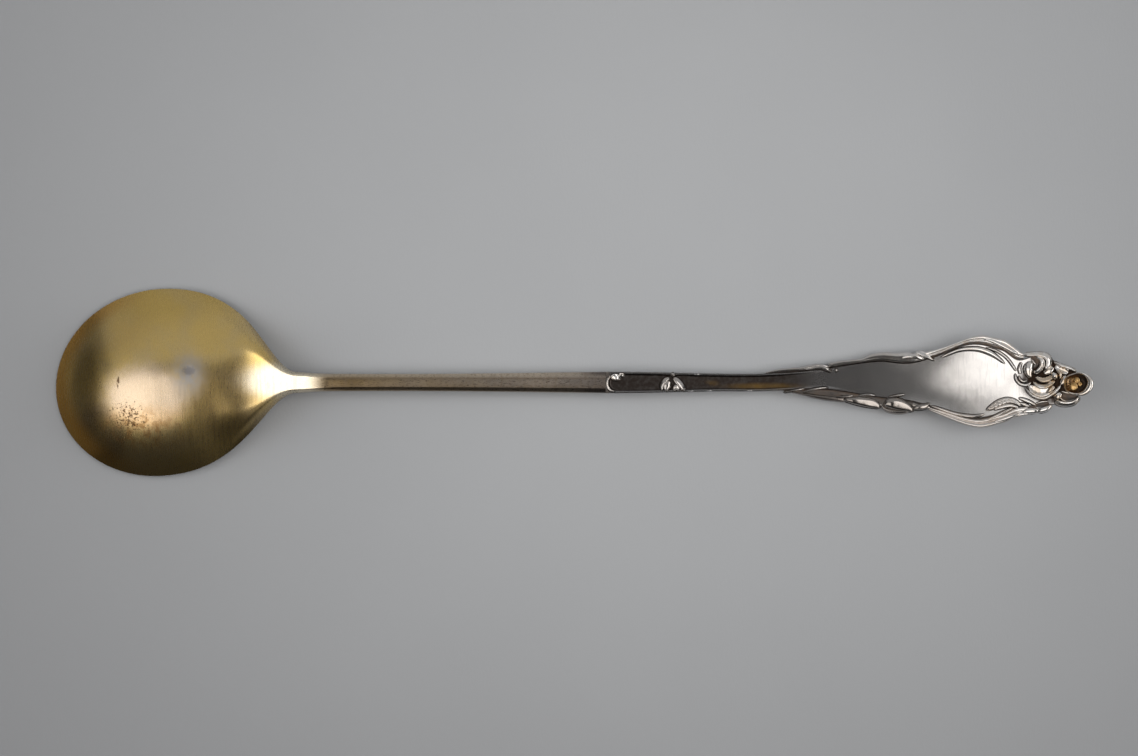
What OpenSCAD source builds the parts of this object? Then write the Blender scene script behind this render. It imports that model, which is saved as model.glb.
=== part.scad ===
// Chocolate muddler lying face down: egg-shaped bowl, bevelled stem and leaf-edged handle with a blossom.
// The length runs along X with the bowl at the low end, the back of the piece is up, and it rests on Z = 0.

/* [Bowl] */
// Length of the bowl from its tip to the seam at the neck
bowl_length = 47.7; // [42:0.1:56]
// Width of the bowl across its rim
bowl_width = 37; // [30:0.5:44]
// Distance from the tip to the widest place of the bowl
bowl_widest = 20.7; // [17:0.1:24]
// Height of the back above the rim
bowl_depth = 8.25; // [7:0.25:11]
// Wall thickness at the middle of the bowl
bowl_wall = 1.1; // [0.8:0.05:1.6]
// Width of the flat rim
rim_width = 1.2; // [0.8:0.1:2]
// Fullness of the curve of the bowl, where 2 is a parabola
bowl_fullness = 2.1; // [1.9:0.05:2.6]
// Slope of the rim from the tip up to the heel, in degrees
bowl_tilt = 2; // [1:0.25:4]
// Turn of the bowl to one side of the stem, in degrees
bowl_skew = 3; // [0:0.5:5]
// Reach of the wide shoulder of the heel
heel_shoulder = 18.5; // [14:0.5:21]
// Reach of the narrow taper of the heel
heel_taper = 6.4; // [4:0.2:9]
// Length of heel over which the skew of the bowl straightens into the stem
heel_turn = 11.7; // [8:0.1:15]

/* [Stem] */
// Length of the stem from the neck seam to the shank seam
stem_length = 60.5; // [45:0.5:80]
// Width of the stem at the neck seam
neck_width = 4.1; // [3:0.1:5]
// Thickness of the stem at the neck seam
neck_thickness = 3.7; // [2.8:0.1:4.4]
// Length of stem over which the neck thins
neck_run = 6; // [4:0.5:12]
// Width of the stem at its narrowest place
stem_waist = 3.4; // [2.6:0.1:4]
// Width of the stem at the shank seam
stem_end_width = 4.2; // [3.4:0.1:5]
// Thickness of the stem at the shank seam
stem_thickness = 2.4; // [1.8:0.1:3.2]
// Squareness of the stem's section
stem_fullness = 5; // [3:0.5:8]

/* [Handle] */
// Length of the shank from the stem seam to the blade
shank_length = 30.3; // [24:0.1:40]
// Width of the shank at its narrowest place
shank_waist = 3.5; // [2.8:0.1:4.2]
// Depth of the sunk panel on the back of the shank
panel_depth = 0.35; // [0.2:0.05:0.6]
// Width of the raised margin beside the sunk panel
panel_margin = 0.5; // [0.3:0.05:0.8]
// Length of the blade from the shank to the blossom
blade_length = 50.4; // [46:0.1:60]
// Thickness of the blade plate
blade_thickness = 1.3; // [0.9:0.05:2]
// Depth of the middle of the blade below its edges
blade_dish = 0.45; // [0.1:0.05:0.6]
// Width of the field at the narrow part of the blade
field_narrow = 7.2; // [6:0.1:8.5]
// Width of the field at the wide end of the blade
field_wide = 14.5; // [12:0.1:17]
// Distance from the start of the blade to the place where it rests on the table
rest_place = 20; // [15:0.5:26]
// Rise of the tip of the handle above the table
tip_rise = 9; // [5:0.25:12]
// Height of the plate above the underside of its border leaves
face_sink = 0.3; // [0.1:0.05:0.6]

/* [Ornament] */
// Width of the border leaves at their widest
leaf_width = 2.2; // [1.6:0.1:3]
// Height of the border leaves above the edge of the plate
border_height = 0.75; // [0.4:0.05:1.2]
// Depth of the crease along the border leaves
border_crease = 0.3; // [0.1:0.05:0.5]
// Height of the leaves and wires laid on the plate
relief_height = 0.7; // [0.4:0.05:1.2]
// Width of the wires inside the border
rib_width = 0.7; // [0.4:0.05:1]
// Width of the buds and the curled leaf on the shank
bud_width = 0.9; // [0.6:0.05:1.1]
// Width of the leaf beside the blossom
shoulder_width = 1.2; // [0.8:0.05:1.6]
// Length of the blossom from the blade to the tip
blossom_length = 14.1; // [13:0.1:18]
// Width of the petals
petal_width = 1.6; // [1.2:0.05:1.9]
// Height of the petals above the plate
petal_height = 1.3; // [0.8:0.05:2]
// Length of the open cup at the tip
cup_length = 5.8; // [5:0.1:7]
// Width of the open cup at the tip
cup_width = 4.8; // [4:0.1:6]
// Height of the cup above the plate
cup_height = 2.2; // [1.6:0.1:3]
// Wall thickness of the cup
cup_wall = 0.5; // [0.4:0.05:0.7]
// Height of the stamens above the floor of the cup
stamen_height = 1.1; // [0.6:0.1:1.4]
// Thickness of each stamen
stamen_width = 0.8; // [0.5:0.05:1]
// Thickness of the solder film between an ornament and its seat
solder_film = 0.03; // [0.02:0.01:0.08]

/* [Hidden] */

gilt = "goldenrod";
silver = "silver";

// Places along the length
overall_length = bowl_length + stem_length + shank_length + blade_length + blossom_length;
x_tip = -overall_length / 2;
x_neck = x_tip + bowl_length;
x_shank = x_neck + stem_length;
x_blade = x_shank + shank_length;
x_blossom = x_blade + blade_length;
x_far = x_blossom + blossom_length;
x_rest = x_blade + rest_place;
x_cup = x_far - cup_length / 2;

// Number of steps across the back of the bowl and stem, and along the tip and the heel
across_steps = 20;
tip_steps = 12;
heel_steps = 14;
tip_start = 6;
rim_stock = 0.05;
stem_steps = 18;
plate_step = 1;
leaf_steps = 14;
cup_sides = 24;

// General curves

function clamp(v, low, high) = max(low, min(high, v));
function mix(a, b, t) = a + (b - a) * t;
function ease(t) = let (c = clamp(t, 0, 1)) c * c * (3 - 2 * c);
function bezier(a, b, c, d, t) =
    a * pow(1 - t, 3) + 3 * b * t * pow(1 - t, 2) + 3 * c * t * t * (1 - t) + d * pow(t, 3);

// Smooth value at x through stations [x, value] in rising order of x, level beyond both ends
function station_slope(p, i) =
    let (a = p[max(0, i - 1)], b = p[min(len(p) - 1, i + 1)]) (b[1] - a[1]) / (b[0] - a[0]);
function station_span(p, x, i = 0) = (i >= len(p) - 2 || x < p[i + 1][0]) ? i : station_span(p, x, i + 1);
function hermite(a, b, slope_a, slope_b, x) =
    let (h = b[0] - a[0], t = (x - a[0]) / h)
    bezier(a[1], a[1] + slope_a * h / 3, b[1] - slope_b * h / 3, b[1], t);
function through(p, x) =
    let (v = clamp(x, p[0][0], p[len(p) - 1][0]), i = station_span(p, v))
    hermite(p[i], p[i + 1], station_slope(p, i), station_slope(p, i + 1), v);

// Closed solid over rings of equal count, each ring turning left as seen from the far end of the row
module skin(rings) {
    n = len(rings[0]);
    last = len(rings) - 1;
    ring_count = n * len(rings);
    points = concat([for (r = rings) each r], [center_of(rings[0]), center_of(rings[last])]);
    sides = [for (i = [0:last - 1], j = [0:n - 1])
        let (k = (j + 1) % n, a = i * n + j, b = i * n + k, c = b + n, d = a + n)
        each [[a, d, c], [a, c, b]]];
    near_end = [for (j = [0:n - 1]) [ring_count, j, (j + 1) % n]];
    far_end = [for (j = [0:n - 1]) [ring_count + 1, last * n + (j + 1) % n, last * n + j]];
    polyhedron(points, concat(sides, near_end, far_end), convexity = 8);
}
function center_of(ring) = [for (k = [0:2]) sum([for (p = ring) p[k]]) / len(ring)];
function sum(v, i = 0) = i >= len(v) ? 0 : v[i] + sum(v, i + 1);

// Bowl, in distances from its tip and heights above its rim

function rim_height(x) = x * tan(bowl_tilt);
function bowl_offset(x) =
    tan(bowl_skew) * (x - bowl_widest) * (1 - ease((x - bowl_length + heel_turn) / heel_turn));
function arch(s, height, fullness) = height * (1 - pow(abs(s), fullness));
function bowl_ring(x, half, back, hollow_half, hollow, fullness) = concat(
    [for (i = [0:across_steps]) let (s = cos(180 * i / across_steps))
        [x_tip + x, bowl_offset(x) + s * half,
            rim_height(x) + arch(s, back + rim_stock, fullness) - rim_stock]],
    [for (i = [0:across_steps]) let (s = -cos(180 * i / across_steps))
        [x_tip + x, bowl_offset(x) + s * hollow_half,
            rim_height(x) + arch(s, hollow, fullness) - rim_stock]]);

// Rings from the tip to the widest place follow an ellipse
function tip_ring(turn) =
    let (x = bowl_widest * (1 - cos(turn) / cos(tip_start)),
        half = bowl_width / 2 * sin(turn),
        inner = clamp(bowl_widest * cos(turn) / (bowl_widest - rim_width), 0, 1),
        hollow_half = max(0.3 * half, (bowl_width / 2 - rim_width) * sqrt(1 - inner * inner)))
    bowl_ring(x, half, bowl_depth * (1 - pow(cos(turn), bowl_fullness)), hollow_half,
        (bowl_depth - bowl_wall + rim_stock) * (1 - pow(inner, bowl_fullness)), bowl_fullness);

// Rings from the widest place to the neck follow a double curve, and the hollow runs out before the neck.
// The back keeps falling as it runs into the stem, and its section turns square from early on.
function heel_fall(t) = 1.84 * t * t - 0.84 * pow(t, 3);
function heel_ring(t) =
    let (x = bezier(bowl_widest, bowl_widest + heel_shoulder, bowl_length - heel_taper, bowl_length, t),
        half = mix(bowl_width, neck_width, ease(t)) / 2,
        back = mix(bowl_depth, neck_thickness, heel_fall(t)),
        hollow_half = max(0.3 * half, half - rim_width),
        hollow = (back - bowl_wall + rim_stock) * (1 - ease((t - 0.3) / 0.5)))
    bowl_ring(x, half, back, hollow_half, hollow, mix(bowl_fullness, stem_fullness, ease((t - 0.2) / 0.8)));

// The raised shell has a little stock below its rim, and the rim is ground flat
module bowl() {
    color(gilt)
        difference() {
            skin(concat(
                [for (i = [0:tip_steps]) tip_ring(mix(tip_start, 90, i / tip_steps))],
                [for (i = [1:heel_steps]) heel_ring(i / heel_steps)]));
            translate([x_tip, 0, 0])
                rotate([0, -bowl_tilt, 0])
                    translate([-bowl_width, -bowl_width, -bowl_width])
                        cube([bowl_length + 2 * bowl_width, 2 * bowl_width, bowl_width]);
        }
}

// Underside of the stem and handle: it leaves the bowl level, falls to the table, and the tip rises again

function under(x) = x < x_rest
    ? hermite([x_neck, rim_height(bowl_length)], [x_rest, 0], 0, 0, x)
    : tip_rise * pow((x - x_rest) / (x_far - x_rest), 2);

stem_half = [
    [x_neck, neck_width / 2],
    [x_neck + 0.06 * stem_length, mix(stem_waist, neck_width, 0.3) / 2],
    [x_neck + 0.18 * stem_length, stem_waist / 2],
    [x_neck + 0.5 * stem_length, mix(stem_waist, stem_end_width, 0.1) / 2],
    [x_shank, stem_end_width / 2]];
function stem_thick(x) =
    mix(stem_thickness, neck_thickness, pow(1 - clamp((x - x_neck) / neck_run, 0, 1), 1.5));
function stem_ring(x) =
    let (half = through(stem_half, x), thick = stem_thick(x))
    concat(
        [for (i = [0:across_steps]) let (s = cos(180 * i / across_steps))
            [x, s * half, under(x) + arch(s, thick, stem_fullness)]],
        [[x, -half / 2, under(x)], [x, half / 2, under(x)]]);

module stem() {
    fine_steps = [for (i = [0:12]) i / 12 * neck_run];
    even_steps = [for (i = [1:stem_steps]) mix(neck_run, stem_length, i / stem_steps)];
    color(gilt)
        skin([for (x = concat(fine_steps, even_steps)) stem_ring(x_neck + x)]);
}

// Handle plate: half widths of its two edges, from the shank seam to the tongue under the blossom

shank_half = [[x_shank, stem_end_width / 2], [x_shank + 0.25 * shank_length, stem_end_width / 2 - 0.05],
    [x_shank + 0.75 * shank_length, shank_waist / 2], [x_blade, shank_waist / 2]];
tongue_half = cup_width / 2 - cup_wall;
upper_half = concat(shank_half, [
    [x_blade + 0.14 * blade_length, shank_waist / 2 + 0.4],
    [x_blade + 0.26 * blade_length, mix(shank_waist / 2, field_narrow * 0.58, 0.45)],
    [x_blade + 0.46 * blade_length, field_narrow * 0.58],
    [x_blade + 0.58 * blade_length, field_narrow * 0.53],
    [x_blade + 0.68 * blade_length, mix(field_narrow, field_wide, 0.4) / 2],
    [x_blade + 0.82 * blade_length, field_wide * 0.52],
    [x_blade + 0.94 * blade_length, field_wide * 0.44],
    [x_blossom, field_wide * 0.31],
    [x_blossom + 0.25 * blossom_length, field_wide * 0.37],
    [x_blossom + 0.4 * blossom_length, field_wide * 0.35],
    [x_cup - cup_length / 2, mix(tongue_half, field_wide * 0.31, 0.5)],
    [x_cup, tongue_half]]);
lower_half = concat(shank_half, [
    [x_blade + 0.14 * blade_length, shank_waist / 2 - 0.3],
    [x_blade + 0.26 * blade_length, shank_waist / 2 - 0.35],
    [x_blade + 0.46 * blade_length, field_narrow * 0.4],
    [x_blade + 0.58 * blade_length, field_narrow * 0.5],
    [x_blade + 0.68 * blade_length, mix(field_narrow, field_wide, 0.35) / 2],
    [x_blade + 0.84 * blade_length, field_wide * 0.48],
    [x_blade + 0.94 * blade_length, field_wide * 0.41],
    [x_blossom, field_wide * 0.33],
    [x_blossom + 0.4 * blossom_length, field_wide * 0.31],
    [x_cup - cup_length / 2, mix(tongue_half, field_wide * 0.31, 0.8)],
    [x_cup, tongue_half + 0.9]]);
function edge_half(x, side) = through(side > 0 ? upper_half : lower_half, x);

// Heights of the plate: the blade is sunk between its border leaves and dished across its width
function in_blade(x) = ease((x - x_blade) / (0.4 * blade_length));
function in_blossom(x) = ease((x - x_blossom + 4) / 4);
function plate_low(x) = under(x) + face_sink * in_blade(x);
function plate_thick(x) =
    mix(stem_thickness - panel_depth, blade_thickness, ease((x - x_shank) / (x_rest - x_shank)));
function panel_lift(x, inset) = panel_depth * (1 - in_blade(x))
    * max(1 - ease(inset / panel_margin - 0.5), 1 - ease((x - x_shank) / panel_margin - 0.5));
function plate_top(x, y) =
    let (half = edge_half(x, y), s = clamp(y / half, -1, 1))
    plate_low(x) + plate_thick(x) + panel_lift(x, half * (1 - abs(s)))
        - blade_dish * in_blade(x) * (1 - in_blossom(x)) * (1 - s * s);

plate_inset = [0, 0.35, 0.7];
plate_inner = [0.55, 0.25];
function plate_places(x, side) = let (half = edge_half(x, side), core = half - panel_margin * 1.6)
    concat([for (k = plate_inset) half - k * panel_margin * 2.2], [for (k = plate_inner) core * k]);
function plate_ring(x) =
    let (up = plate_places(x, 1), down = [for (v = plate_places(x, -1)) -v],
        row = concat(up, [0], [for (i = [len(down) - 1:-1:0]) down[i]]))
    concat(
        [for (y = row) [x, y, plate_top(x, y)]],
        [for (k = [-1, -0.5, 0, 0.5, 1]) [x, k * edge_half(x, k), plate_low(x)]]);

module handle() {
    plate_end = x_cup;
    count = ceil((plate_end - x_shank) / plate_step);
    early = [0.25, 0.5, 0.75];
    color(silver)
        skin([for (x = concat([x_shank], [for (k = early) x_shank + k * plate_step],
            [for (i = [1:count]) x_shank + (plate_end - x_shank) * i / count])) plate_ring(x)]);
}

// Border leaf along one edge of the plate, with widths as stations [share of length, width]
module border_leaf(start, end, side, widths) {
    function swell(t) = 0.35 + 0.65 * pow(sin(180 * clamp(t, 0.02, 0.98)), 0.6);
    function ring(t) =
        let (x = mix(start, end, t),
            inner = edge_half(x, side) + solder_film,
            width = through(widths, t),
            rim = plate_top(x, side * inner),
            lift = border_height * swell(t),
            crease = border_crease * swell(t),
            low = under(x),
            row = [[1, mix(low, rim, 0.55)], [0.78, rim + lift * 0.8], [0.5, rim + lift - crease],
                [0.24, rim + lift], [0, rim + lift * 0.2], [0, low + face_sink * 0.5],
                [0.2, low], [0.85, low]])
        [for (p = side > 0 ? row : [for (i = [len(row) - 1:-1:0]) row[i]])
            [x, side * (inner + p[0] * width), p[1]]];
    count = max(leaf_steps / 2, ceil((end - start) / plate_step));
    color(silver)
        skin([for (i = [0:count]) ring(i / count)]);
}

// Leaf laid on the plate along a spine of places [x, y, half width, height]
leaf_section = [[1, 0.3], [0.8, 0.75], [0.3, 1], [-0.3, 1], [-0.8, 0.75], [-1, 0.3], [-1, 0], [0, 0], [1, 0]];
module laid_leaf(spine) {
    last = len(spine) - 1;
    function place(t, k) = through([for (i = [0:last]) [i / last, spine[i][k]]], t);
    function ring(t) =
        let (x = place(t, 0), y = place(t, 1), half = place(t, 2), height = place(t, 3),
            dx = place(t + 0.01, 0) - place(t - 0.01, 0), dy = place(t + 0.01, 1) - place(t - 0.01, 1),
            length = sqrt(dx * dx + dy * dy), nx = -dy / length, ny = dx / length)
        [for (p = leaf_section)
            let (px = x + nx * p[0] * half, py = y + ny * p[0] * half)
            [px, py, plate_top(px, py) + solder_film + p[1] * height]];
    color(silver)
        skin([for (i = [0:leaf_steps]) ring(i / leaf_steps)]);
}

module border_on_blade(start, end, side, widths) {
    border_leaf(x_blade + start * blade_length, x_blade + end * blade_length, side,
        [for (w = widths) [w[0], w[1] * leaf_width]]);
}

module upper_leaf_near() {
    border_on_blade(0.024, 0.268, 1,
        [[0, 0.07], [0.22, 0.34], [0.54, 0.36], [0.78, 0.5], [0.92, 0.36], [1, 0.14]]);
}

module upper_leaf_mid() {
    border_on_blade(0.272, 0.64, 1,
        [[0, 0.4], [0.11, 0.5], [0.32, 0.57], [0.53, 0.8], [0.69, 0.9], [0.81, 1], [0.89, 0.82], [0.95, 0.95],
            [1, 0.7]]);
}

module upper_border() {
    border_on_blade(0.644, 1.02, 1,
        [[0, 0.68], [0.15, 0.6], [0.36, 0.5], [0.52, 0.7], [0.6, 0.86], [0.72, 0.92], [0.86, 1.08], [0.93, 1],
            [1, 0.5]]);
}

module lower_leaf_near() {
    border_on_blade(0.094, 0.335, -1, [[0, 0.07], [0.26, 0.46], [0.58, 0.95], [0.9, 0.98], [1, 0.86]]);
}

module lower_leaf_mid() {
    border_on_blade(0.339, 0.471, -1, [[0, 0.95], [0.39, 0.98], [0.68, 0.98], [0.89, 0.95], [1, 0.73]]);
}

module lower_bud() {
    border_on_blade(0.475, 0.596, -1,
        [[0, 0.73], [0.13, 1.2], [0.42, 1.39], [0.74, 1.25], [0.93, 0.86], [1, 0.55]]);
}

module lower_tip() {
    border_on_blade(0.6, 0.658, -1, [[0, 0.5], [0.27, 0.64], [0.67, 0.45], [1, 0.18]]);
}

module lower_border() {
    border_on_blade(0.662, 1.036, -1,
        [[0, 0.4], [0.1, 0.55], [0.31, 0.75], [0.55, 0.93], [0.73, 0.95], [0.89, 0.98], [1, 0.86]]);
}

module curl_leaf() {
    border_on_blade(1.04, 1.126, -1, [[0, 0.82], [0.41, 0.73], [0.82, 0.57], [1, 0.23]]);
}

// Wire laid inside the border, set in from the edge of the plate by stations [share of length, inset]
module border_rib(start, end, side, insets) {
    laid_leaf([for (t = [0:0.125:1])
        let (x = x_blade + mix(start, end, t) * blade_length, taper = 0.3 + 0.7 * sin(180 * t))
        [x, side * (edge_half(x, side) - through(insets, t)), rib_width / 2 * taper,
            relief_height * taper]]);
}

module upper_rib() {
    border_rib(0.713, 0.975, 1, [[0, 0.6], [0.5, 0.75], [0.75, 1.2], [1, 2]]);
}

module lower_rib() {
    border_rib(0.7, 0.92, -1, [[0, 0.55], [1, 0.55]]);
}

// Leaf laid on the plate by places of shares [of length, of the plate's half width, of width, of height]
module leaf_from(start, length, width, height, places) {
    laid_leaf([for (p = places)
        let (x = start + p[0] * length)
        [x, p[1] * edge_half(x, p[1]), p[2] * width / 2, p[3] * height]]);
}

module shank_leaf(places) {
    leaf_from(x_shank, shank_length, bud_width, relief_height, places);
}

module collar_leaf() {
    shank_leaf([[0.017, -0.33, 0.35, 0.4], [0.03, 0.24, 0.7, 0.9], [0.063, 0.57, 1, 1],
        [0.109, 0.48, 0.35, 0.5]]);
}

module bud_left() {
    shank_leaf([[0.366, -0.65, 0.45, 0.4], [0.38, -0.2, 0.9, 0.9], [0.406, 0.25, 0.45, 0.4]]);
}

module bud_right() {
    shank_leaf([[0.422, 0.74, 0.55, 0.4], [0.442, 0.26, 0.9, 0.9], [0.475, -0.41, 1, 0.9],
        [0.508, -0.7, 0.35, 0.4]]);
}

module shoulder_leaf() {
    leaf_from(x_blossom, blade_length, shoulder_width, relief_height, [[-0.111, -0.8, 0.25, 0.4],
        [-0.081, -0.71, 0.9, 1], [-0.046, -0.67, 1, 1], [-0.01, -0.82, 0.35, 0.4]]);
}

// Petals spread between the blade and the cup
petal_reach = blossom_length - cup_length;

module petal(places) {
    leaf_from(x_blossom, petal_reach, petal_width, petal_height, places);
}

module round_petal() {
    petal([[0.012, 0.62, 0.5, 0.4], [0.05, 0.37, 1.2, 0.7], [0.145, 0.1, 1.3, 0.7],
        [0.265, -0.1, 0.4, 0.4]]);
}

module scroll_petal() {
    petal([[0.18, 0.97, 0.25, 0.4], [0.31, 0.98, 0.5, 0.8], [0.5, 0.98, 0.55, 1], [0.66, 0.97, 0.6, 1],
        [0.72, 0.84, 0.55, 0.9], [0.64, 0.56, 0.5, 0.8], [0.43, 0.32, 0.2, 0.3]]);
}

module fall_petal() {
    petal([[0.145, -0.26, 0.3, 0.4], [0.34, -0.44, 0.85, 0.8], [0.58, -0.56, 1, 0.8],
        [0.78, -0.41, 0.35, 0.4]]);
}

module heart_petal() {
    petal([[0.48, -0.06, 0.35, 0.5], [0.66, 0.12, 0.95, 1], [0.83, 0.3, 0.95, 1], [0.94, 0.55, 0.35, 0.5]]);
}

// The lower petal starts on the plate and runs along the side of the cup
module lower_petal() {
    x_start = x_blossom + 0.8 * petal_reach;
    x_beside = x_cup - 0.53 * cup_length;
    half = petal_width / 2;
    below_cup = cup_y - cup_width / 2 - petal_gap;
    laid_leaf([[x_start, -0.86 * edge_half(x_start, -1), half * 0.35, petal_height * 0.4],
        [x_beside, below_cup - half * 1.1, half, petal_height * 0.9],
        [x_cup - 0.22 * cup_length, below_cup - half * 0.95, half * 0.95, petal_height * 0.9],
        [x_cup + 0.04 * cup_length, below_cup - half * 0.35, half * 0.3, petal_height * 0.4]]);
}

cup_y = -0.3;
cup_floor = 0.5;
petal_gap = 0.15;
cup_slope = plate_top(x_cup, cup_y) - plate_top(x_cup - 1, cup_y);
function cup_seat(x) = plate_top(x_cup, cup_y) + cup_slope * (x - x_cup) + solder_film;
function cup_ring(share, inset, height, seated) =
    [for (i = [0:cup_sides - 1])
        let (a = 360 * i / cup_sides,
            x = x_cup + (cup_length / 2 * share - inset) * cos(a),
            y = cup_y + (cup_width / 2 * share - inset) * sin(a))
        [x, y, (seated ? plate_top(x, y) + solder_film : cup_seat(x)) + height]];

module throat_cup() {
    color(silver)
        skin([cup_ring(0.6, 0, 0, true), cup_ring(0.92, 0, cup_height * 0.45, false),
            cup_ring(1, 0, cup_height, false), cup_ring(1, cup_wall, cup_height, false),
            cup_ring(0.92, cup_wall, cup_height * 0.5, false), cup_ring(0.6, 0.2, cup_floor, false)]);
}

module stamens() {
    places = [[-0.12, 0.02], [0.06, -0.11], [0.08, 0.11]];
    color(gilt)
        for (p = places)
            let (x = x_cup + p[0] * cup_length)
                translate([x, cup_y + p[1] * cup_width, cup_seat(x) + cup_floor + solder_film])
                    rotate([0, -atan(cup_slope), 0])
                        cylinder(h = stamen_height, d1 = stamen_width * 0.6, d2 = stamen_width, $fn = 24);
}

bowl();
stem();
handle();
collar_leaf();
bud_left();
bud_right();
upper_leaf_near();
upper_leaf_mid();
upper_border();
upper_rib();
lower_leaf_near();
lower_leaf_mid();
lower_bud();
lower_tip();
lower_border();
lower_rib();
curl_leaf();
shoulder_leaf();
round_petal();
scroll_petal();
fall_petal();
heart_petal();
lower_petal();
throat_cup();
stamens();
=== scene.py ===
"""Chocolate muddler lying face down, seen from above: gilt bowl and stem, silver handle with leaf relief."""
import math

import bmesh
import bpy
import numpy as np
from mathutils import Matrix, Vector


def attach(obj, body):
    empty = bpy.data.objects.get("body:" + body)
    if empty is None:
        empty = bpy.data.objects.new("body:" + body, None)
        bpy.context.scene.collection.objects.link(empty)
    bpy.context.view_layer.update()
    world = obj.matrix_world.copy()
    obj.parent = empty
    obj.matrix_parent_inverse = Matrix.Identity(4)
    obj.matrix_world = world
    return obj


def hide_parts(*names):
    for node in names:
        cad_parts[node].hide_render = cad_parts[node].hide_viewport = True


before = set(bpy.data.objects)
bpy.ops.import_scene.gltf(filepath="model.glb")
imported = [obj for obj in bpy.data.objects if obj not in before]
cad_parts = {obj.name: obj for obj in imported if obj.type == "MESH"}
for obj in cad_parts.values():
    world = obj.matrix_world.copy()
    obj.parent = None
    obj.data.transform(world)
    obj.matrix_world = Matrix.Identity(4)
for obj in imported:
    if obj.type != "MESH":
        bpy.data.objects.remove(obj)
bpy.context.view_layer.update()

MM = 0.001

# Sizes of the part in millimetres. A fullness is the exponent of an arch, and slope and skew are tangents.
BOWL_LENGTH = 47.7
BOWL_WIDTH = 36.78
BOWL_WIDEST = 20.7
BOWL_DEPTH = 8.2
BOWL_WALL = 1.1
BOWL_FULLNESS = 2.1
BOWL_SLOPE = math.tan(math.radians(2))
BOWL_SKEW = math.tan(math.radians(3))
RIM_WIDTH = 1.2
HEEL_SHOULDER = 18.5
HEEL_TAPER = 6.4
HEEL_TURN = 11.7
NECK_WIDTH = 4.1
NECK_THICKNESS = 3.7
NECK_RUN = 6.0
STEM_LENGTH = 60.5
STEM_WAIST = 3.4
STEM_END_WIDTH = 4.2
STEM_THICKNESS = 2.4
STEM_FULLNESS = 10.0
SHANK_LENGTH = 30.3
SHANK_WAIST = 3.5
PANEL_DEPTH = 0.35
PANEL_MARGIN = 0.5
PANEL_START = 0.15
BLADE_LENGTH = 50.4
BLADE_THICKNESS = 1.3
BLADE_DISH = 0.45
BLADE_REST = 20.0
FIELD_NARROW = 7.2
FIELD_WIDE = 14.5
TIP_RISE = 9.0
FACE_SINK = 0.3
LEAF_WIDTH = 2.2
BORDER_HEIGHT = 0.75
BLOSSOM_LENGTH = 14.1
CUP_LENGTH = 5.8
CUP_WIDTH = 4.8
CUP_HEIGHT = 2.2
CUP_WALL = 0.5
CUP_FLOOR = 0.5
CUP_Y = -0.3
STAMEN_HEIGHT = 1.1
# Thin gap between a piece of relief and the metal under it
FILM = 0.03

# Places along the part, from the free end of the bowl to the tip of the handle
X_TIP = -101.5
X_NECK = X_TIP + BOWL_LENGTH
X_SHANK = X_NECK + STEM_LENGTH
X_BLADE = X_SHANK + SHANK_LENGTH
X_BLOSSOM = X_BLADE + BLADE_LENGTH
X_FAR = X_BLOSSOM + BLOSSOM_LENGTH
X_REST = X_BLADE + BLADE_REST
X_CUP = X_FAR - CUP_LENGTH / 2


# General curves

def mix(a, b, t):
    return a + (b - a) * t


def ease(t):
    c = np.clip(t, 0, 1)
    return c * c * (3 - 2 * c)


def bezier(a, b, c, d, t):
    return a * (1 - t) ** 3 + 3 * b * t * (1 - t) ** 2 + 3 * c * t * t * (1 - t) + d * t ** 3


def through(stations, x):
    """Smooth value at x through stations (x, value), level beyond both ends."""
    p = np.array(stations, float)
    u, v = p[:, 0], p[:, 1]
    last = len(u) - 1
    index = np.arange(last + 1)
    before = np.maximum(index - 1, 0)
    after = np.minimum(index + 1, last)
    slope = (v[after] - v[before]) / (u[after] - u[before])
    x = np.clip(x, u[0], u[-1])
    i = np.clip(np.searchsorted(u, x, side="right") - 1, 0, last - 1)
    h = u[i + 1] - u[i]
    t = (x - u[i]) / h
    return bezier(v[i], v[i] + slope[i] * h / 3, v[i + 1] - slope[i + 1] * h / 3, v[i + 1], t)


def ripple(x, y, size, seed=0.0):
    """Smooth waves from -1 to 1 of about the given size."""
    turn = 2 * np.pi / size
    first = np.sin(turn * (0.9 * x + 0.35 * y) + seed)
    second = np.sin(turn * (0.5 * x - 0.8 * y) + 2.3 * seed)
    third = np.sin(turn * (0.23 * x + 0.6 * y) + 4.1 * seed)
    return (first + second + third) / 3


def mound(x, y, place, spread):
    """1 at a place (x, y), falling smoothly to 0 around it."""
    return np.exp(-((x - place[0]) ** 2 + (y - place[1]) ** 2) / spread)


# Skins

# Corners of a face along a skin. Only caps have more.
SIDES = 4


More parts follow.
